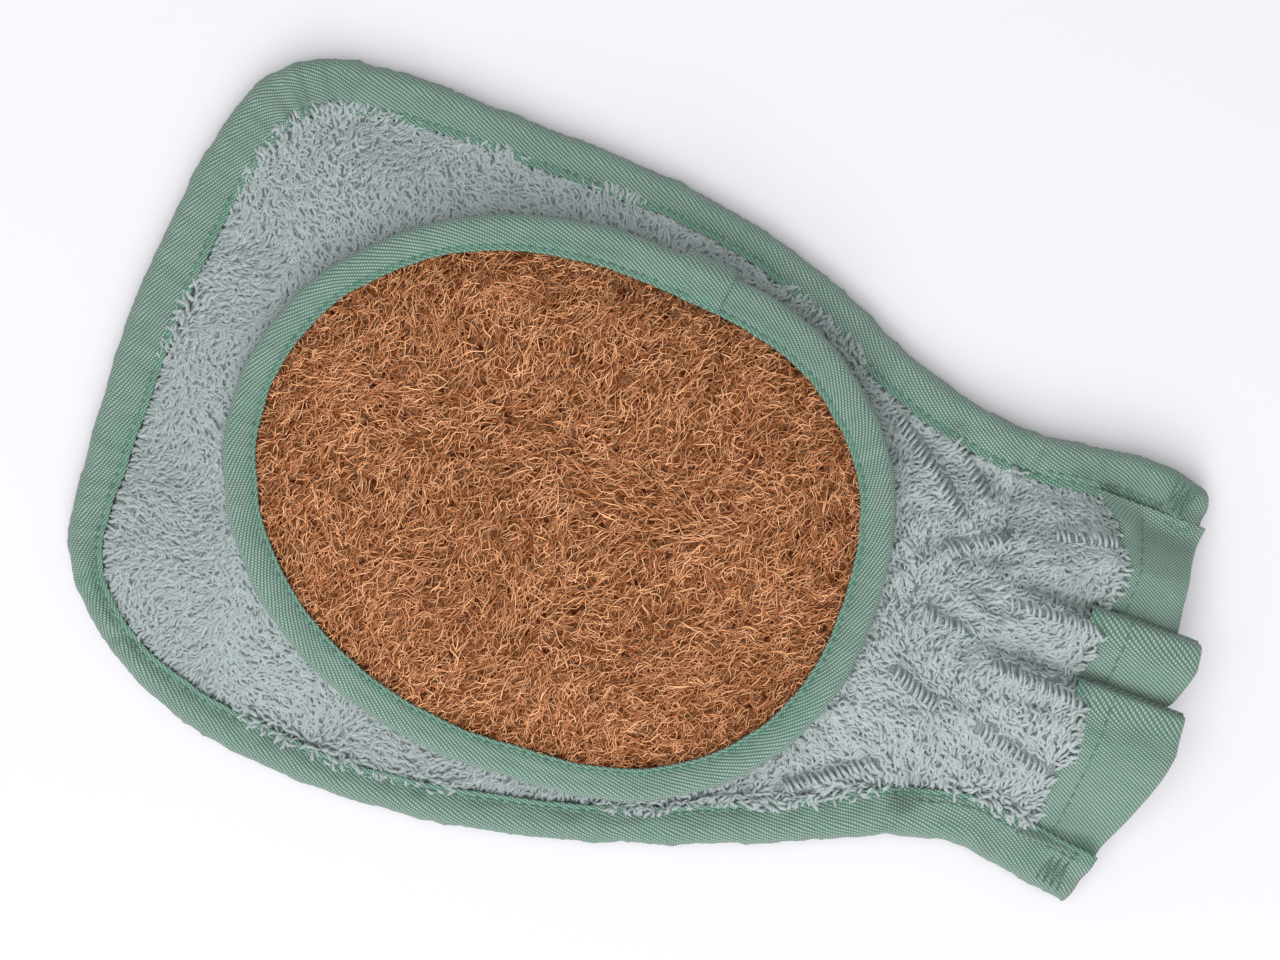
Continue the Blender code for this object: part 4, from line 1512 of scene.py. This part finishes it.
def make_fibres(sizes, colours):
    rng = np.random.default_rng(17)
    low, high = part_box("loofah_pad")
    spots = np.stack([rng.uniform(low[i], high[i], sizes.fibre_count * 2) for i in (0, 1)], -1)
    apart, where = PAD.distance(spots)
    keep = PAD.inside(spots) & (apart > pad_width(where, sizes) - 0.4 * MM)
    spots, apart = spots[keep][:sizes.fibre_count], apart[keep][:sizes.fibre_count]
    count = len(spots)
    points = 6
    rim = smoothstep(1 - (apart - 5 * MM) / (14 * MM))
    length = rng.uniform(0.6, 1.35, count) * sizes.fibre_length * (1 - 0.45 * rim)
    heading = 1.3 * wander(spots, 20 * MM, 13, 1) + rng.normal(-0.5, 0.55, count)
    bend = rng.normal(0, 0.7, count)
    wave = rng.normal(0, 0.55, count)
    phase = rng.uniform(0, 2 * math.pi, count)
    share = np.linspace(0, 1, points)
    turn = heading[:, None] + bend[:, None] * share + wave[:, None] * np.sin(
        2 * math.pi * share * 1.2 + phase[:, None]
    )
    step = length[:, None] / (points - 1)
    plan = np.stack([np.cumsum(np.cos(turn) * step, 1), np.cumsum(np.sin(turn) * step, 1)], -1)
    plan = plan - plan[:, points // 2:points // 2 + 1] + spots[:, None]
    depth = rng.random(count) ** 0.8
    surface = loofah_surface(plan.reshape(-1, 2)).reshape(count, points)
    arch = rng.uniform(0.15, 0.85, count) * MM
    lift = rng.normal(0, 0.14 * MM, (count, points))
    z = surface - (depth * 1.0 * MM)[:, None] + arch[:, None] * np.sin(np.pi * share) ** 1.2
    z = z + lift - 0.35 * MM
    outside, beside = PAD.distance(plan.reshape(-1, 2))
    under_tape = smoothstep((pad_width(beside, sizes) + 0.2 * MM - outside) / (1.3 * MM))
    z = z - under_tape.reshape(count, points) * 2.2 * MM
    lines = np.concatenate([plan, z[..., None]], -1)
    width = sizes.fibre_width / 2 * rng.uniform(0.65, 1.35, count) * (1 - 0.15 * rim)
    radii = width[:, None] * (0.65 + 0.35 * np.sin(np.pi * share))
    # Painted light: fibres that lie higher and arch up are lighter, and deeper ones darker.
    raised = arch / (0.85 * MM)
    shades = np.clip(0.1 + 1.4 * (1 - depth) * raised + rng.normal(0, 0.25, count), 0, 1)
    finish = finish_called("loofah fibre", fibre_finish, colours)
    strand_pieces("loofah_fibres", finish, lines, radii, shades, spots[:, 1])


# The gap colour is painted shade between the backing's yarns.
BACKING_YARN, BACKING_GAP_SHADE = (0.42, 0.45, 0.42), (0.2, 0.22, 0.2)


def make_backing():
    under = Relief("pad_backing_cloth", above=False)

    def place(u, v):
        a, b = 2 * u - 1, 2 * v - 1
        x = a * np.sqrt(1 - b * b / 2)
        y = b * np.sqrt(1 - a * a / 2)
        xy = inside_pad(np.arctan2(y, x), np.hypot(x, y), 3.0 * MM)
        return np.concatenate([xy, under(xy)[:, None]], 1), xy

    finish = finish_called("backing cloth", plain_weave_finish, "backing cloth",
                           BACKING_YARN, BACKING_GAP_SHADE, 0.6 * MM)
    backing = cloth("pad_backing", finish, 60, 70, place, 0.4 * MM, outer_up=False)
    finish_piece(backing, ["pad_backing_cloth"])


# Stage


LOOK = (10.9 * MM, 5.5 * MM, 10 * MM)  # the spot that the lights and the camera look at


def make_stage(stage):
    bm = bmesh.new()
    bmesh.ops.create_grid(bm, x_segments=4, y_segments=4, size=3.0)
    mesh = bpy.data.meshes.new("floor")
    bmesh.ops.translate(bm, vec=(0, 0, -0.05 * MM), verts=bm.verts)
    bm.to_mesh(mesh)
    bm.free()
    finish, w, shader = material("pale floor", 0.9)
    place = w.object_place()
    w.paint(shader, w.mix(
        w.noise(place, 3.0, 2.0), colour(stage.floor), colour(stage.floor, 0.99)
    ))
    new_object("floor", mesh, finish)

    look = Vector(LOOK)
    for name, spot, size, power in (
        ("overhead", (-0.25, 0.15, 1.5), 1.6, stage.overhead_power),
        ("front", (-1.15, -0.35, 0.95), 1.1, stage.front_power),
    ):
        light = bpy.data.lights.new(name, "AREA")
        light.shape = "DISK"
        light.size = size
        light.energy = power
        lamp = bpy.data.objects.new(name, light)
        lamp.location = spot
        lamp.rotation_euler = (look - Vector(spot)).to_track_quat("-Z", "Y").to_euler()
        bpy.context.scene.collection.objects.link(lamp)
    world = bpy.data.worlds.new("soft room")
    world.use_nodes = True
    world.node_tree.nodes["Background"].inputs[0].default_value = (1.0, 0.995, 1.01, 1.0)
    world.node_tree.nodes["Background"].inputs[1].default_value = stage.room
    bpy.context.scene.world = world

    camera = bpy.data.cameras.new("camera")
    camera.lens = 80.0
    camera.sensor_width = 36.0
    body = bpy.data.objects.new("camera", camera)
    body.location = look + Vector((0, 0, stage.camera_height))
    body.rotation_euler = (0.0, 0.0, math.radians(stage.camera_turn))
    bpy.context.scene.collection.objects.link(body)
    bpy.context.scene.camera = body
    bpy.context.scene.view_settings.view_transform = "Standard"


# Add-on


def number_property(name, description, default, **more):
    return bpy.props.FloatProperty(name=name, description=description, default=default, **more)


def size_property(name, description, default):
    return number_property(name, description, default, subtype="DISTANCE", unit="LENGTH",
                           precision=5, min=0.0)


def colour_property(name, description, default):
    return bpy.props.FloatVectorProperty(
        name=name, description=description, default=default, subtype="COLOR", size=3,
        min=0.0, max=1.0,
    )


class MittSizes(bpy.types.PropertyGroup):
    """Sizes of the cloth, loops, fibres and stitches."""

    tape_width: size_property("Edge tape", "Width of the edge tape on each side", 9.2 * MM)
    pad_tape_width: size_property("Pad tape", "Width of the tape round the loofah", 6.9 * MM)
    stitch_length: size_property("Stitch", "Length of one machine stitch", 2.6 * MM)
    pile_length: size_property("Loop length", "Length of a terry loop as it lies", 2.5 * MM)
    pile_width: size_property("Loop yarn", "Thickness of a terry loop's yarn", 1.0 * MM)
    pile_spacing: size_property("Loop spacing", "Distance between terry loops", 0.9 * MM)
    fibre_length: size_property("Fibre length", "Usual length of a loofah fibre", 4.6 * MM)
    fibre_width: size_property("Fibre width", "Thickness of a loofah fibre", 0.25 * MM)
    fibre_count: bpy.props.IntProperty(
        name="Fibres", description="How many loofah fibres lie on the pad", default=17000, min=1
    )


class MittColours(bpy.types.PropertyGroup):
    """Colours of the finishes."""

    terry: colour_property("Terry", "Light loops", (0.385, 0.425, 0.43))
    terry_shade: colour_property("Terry shade", "Darker loops", (0.27, 0.31, 0.315))
    # Painted shade: the dark that the loops' ends and the ground cloth take between the loops.
    terry_root_shade: colour_property("Terry root", "Deep between the loops", (0.215, 0.25, 0.255))
    terry_tint: colour_property("Terry tint", "Greener patches", (0.27, 0.33, 0.315))
    tape: colour_property("Tape", "Bias tape", (0.225, 0.305, 0.26))
    tape_faded: colour_property("Faded tape", "Paler patches of tape", (0.33, 0.41, 0.36))
    tape_green: colour_property("Green tape", "Greener patches of tape", (0.15, 0.33, 0.235))
    # Painted shade between the tape's yarns, and a painted highlight on its raised yarn.
    tape_gap_shade: colour_property("Tape gaps", "Between the tape's yarns", (0.075, 0.165, 0.12))
    tape_yarn_highlight: colour_property("Tape yarn", "The tape's raised yarn", (0.45, 0.52, 0.48))
    # Painted light: the loofah colour is that of deep fibres in shade, and the pale one that of
    # raised fibres in light.
    loofah: colour_property("Loofah", "Deeper fibres", (0.29, 0.073, 0.012))
    loofah_pale_lit: colour_property("Pale loofah", "Raised fibres", (0.97, 0.535, 0.28))
    # Painted shade in the holes between the fibres.
    loofah_hole_shade: colour_property("Loofah hole", "Dark between fibres", (0.06, 0.008, 0.002))
    thread: colour_property("Thread", "Sewing thread", (0.10, 0.21, 0.155))


class MittStage(bpy.types.PropertyGroup):
    """Floor, light and camera."""

    floor: colour_property("Floor", "Colour of the floor", (0.696, 0.684, 0.715))
    overhead_power: number_property(
        "Overhead light", "Power of the overhead light", 20.0, subtype="POWER", min=0.0
    )
    front_power: number_property(
        "Front light", "Power of the light beside the mitt", 14.0, subtype="POWER", min=0.0
    )
    room: number_property(
        "Room light", "Strength of the light from all round", 0.42, min=0.0
    )
    camera_height: size_property("Camera height", "Camera above the mitt's middle", 0.5998)
    camera_turn: number_property(
        "Camera turn", "Turn of the camera over the mitt, in degrees", -69.5
    )


class MITT_OT_terry(bpy.types.Operator):
    """Make both terry panels with their loops"""

    bl_idname = "mitt.terry"
    bl_label = "Terry panels"

    def execute(self, context):
        sizes, colours = context.scene.mitt_sizes, context.scene.mitt_colours
        for side, pile in (("front", make_front_pile), ("back", make_back_pile)):
            ground = make_ground(side, sizes, colours)
            loops_made = pile(sizes, colours)
        return {"FINISHED"}


class MITT_OT_edge_tape(bpy.types.Operator):
    """Make the tape round the edge with its stitches and wrist tacks"""

    bl_idname = "mitt.edge_tape"
    bl_label = "Edge tape"

    def execute(self, context):
        make_edge_tape(context.scene.mitt_sizes, context.scene.mitt_colours)
        return {"FINISHED"}


class MITT_OT_wrist(bpy.types.Operator):
    """Make the wrist bands, the elastics and their stitches"""

    bl_idname = "mitt.wrist"
    bl_label = "Wrist bands and elastics"

    def execute(self, context):
        make_wrist(context.scene.mitt_sizes, context.scene.mitt_colours)
        return {"FINISHED"}


class MITT_OT_loofah(bpy.types.Operator):
    """Make the loofah pad with its fibres and backing"""

    bl_idname = "mitt.loofah"
    bl_label = "Loofah pad"

    def execute(self, context):
        make_loofah(context.scene.mitt_sizes, context.scene.mitt_colours)
        return {"FINISHED"}


class MITT_OT_pad_tape(bpy.types.Operator):
    """Make the tape round the loofah with its stitches"""

    bl_idname = "mitt.pad_tape"
    bl_label = "Pad tape"

    def execute(self, context):
        make_pad_tape(context.scene.mitt_sizes, context.scene.mitt_colours)
        return {"FINISHED"}


class MITT_OT_stage(bpy.types.Operator):
    """Make the floor, the lights and the camera"""

    bl_idname = "mitt.stage"
    bl_label = "Stage"

    def execute(self, context):
        make_stage(context.scene.mitt_stage)
        return {"FINISHED"}


STEPS = (
    MITT_OT_stage, MITT_OT_terry, MITT_OT_loofah, MITT_OT_pad_tape, MITT_OT_edge_tape,
    MITT_OT_wrist,
)


class MITT_PT_panel(bpy.types.Panel):
    """Lists the steps that make the mitt, with its sizes and colours"""

    bl_idname = "MITT_PT_panel"
    bl_label = "Loofah bath mitt"
    bl_space_type = "VIEW_3D"
    bl_region_type = "UI"
    bl_category = "Mitt"

    def draw(self, context):
        for step in STEPS:
            self.layout.operator(step.bl_idname)
        for group in (context.scene.mitt_sizes, context.scene.mitt_colours,
                      context.scene.mitt_stage):
            box = self.layout.box()
            for name in group.__annotations__:
                box.prop(group, name)


CLASSES = (MittSizes, MittColours, MittStage) + STEPS + (MITT_PT_panel,)


def register():
    for cls in CLASSES:
        bpy.utils.register_class(cls)
    bpy.types.Scene.mitt_sizes = bpy.props.PointerProperty(type=MittSizes)
    bpy.types.Scene.mitt_colours = bpy.props.PointerProperty(type=MittColours)
    bpy.types.Scene.mitt_stage = bpy.props.PointerProperty(type=MittStage)


def unregister():
    del bpy.types.Scene.mitt_stage
    del bpy.types.Scene.mitt_colours
    del bpy.types.Scene.mitt_sizes
    for cls in reversed(CLASSES):
        bpy.utils.unregister_class(cls)


def main():
    register()
    twill_effect()
    patches_effect()
    strand_effect()
    bpy.ops.mitt.stage()
    bpy.ops.mitt.terry()
    bpy.ops.mitt.loofah()
    bpy.ops.mitt.pad_tape()
    bpy.ops.mitt.edge_tape()
    bpy.ops.mitt.wrist()


if __name__ == "__main__":
    main()
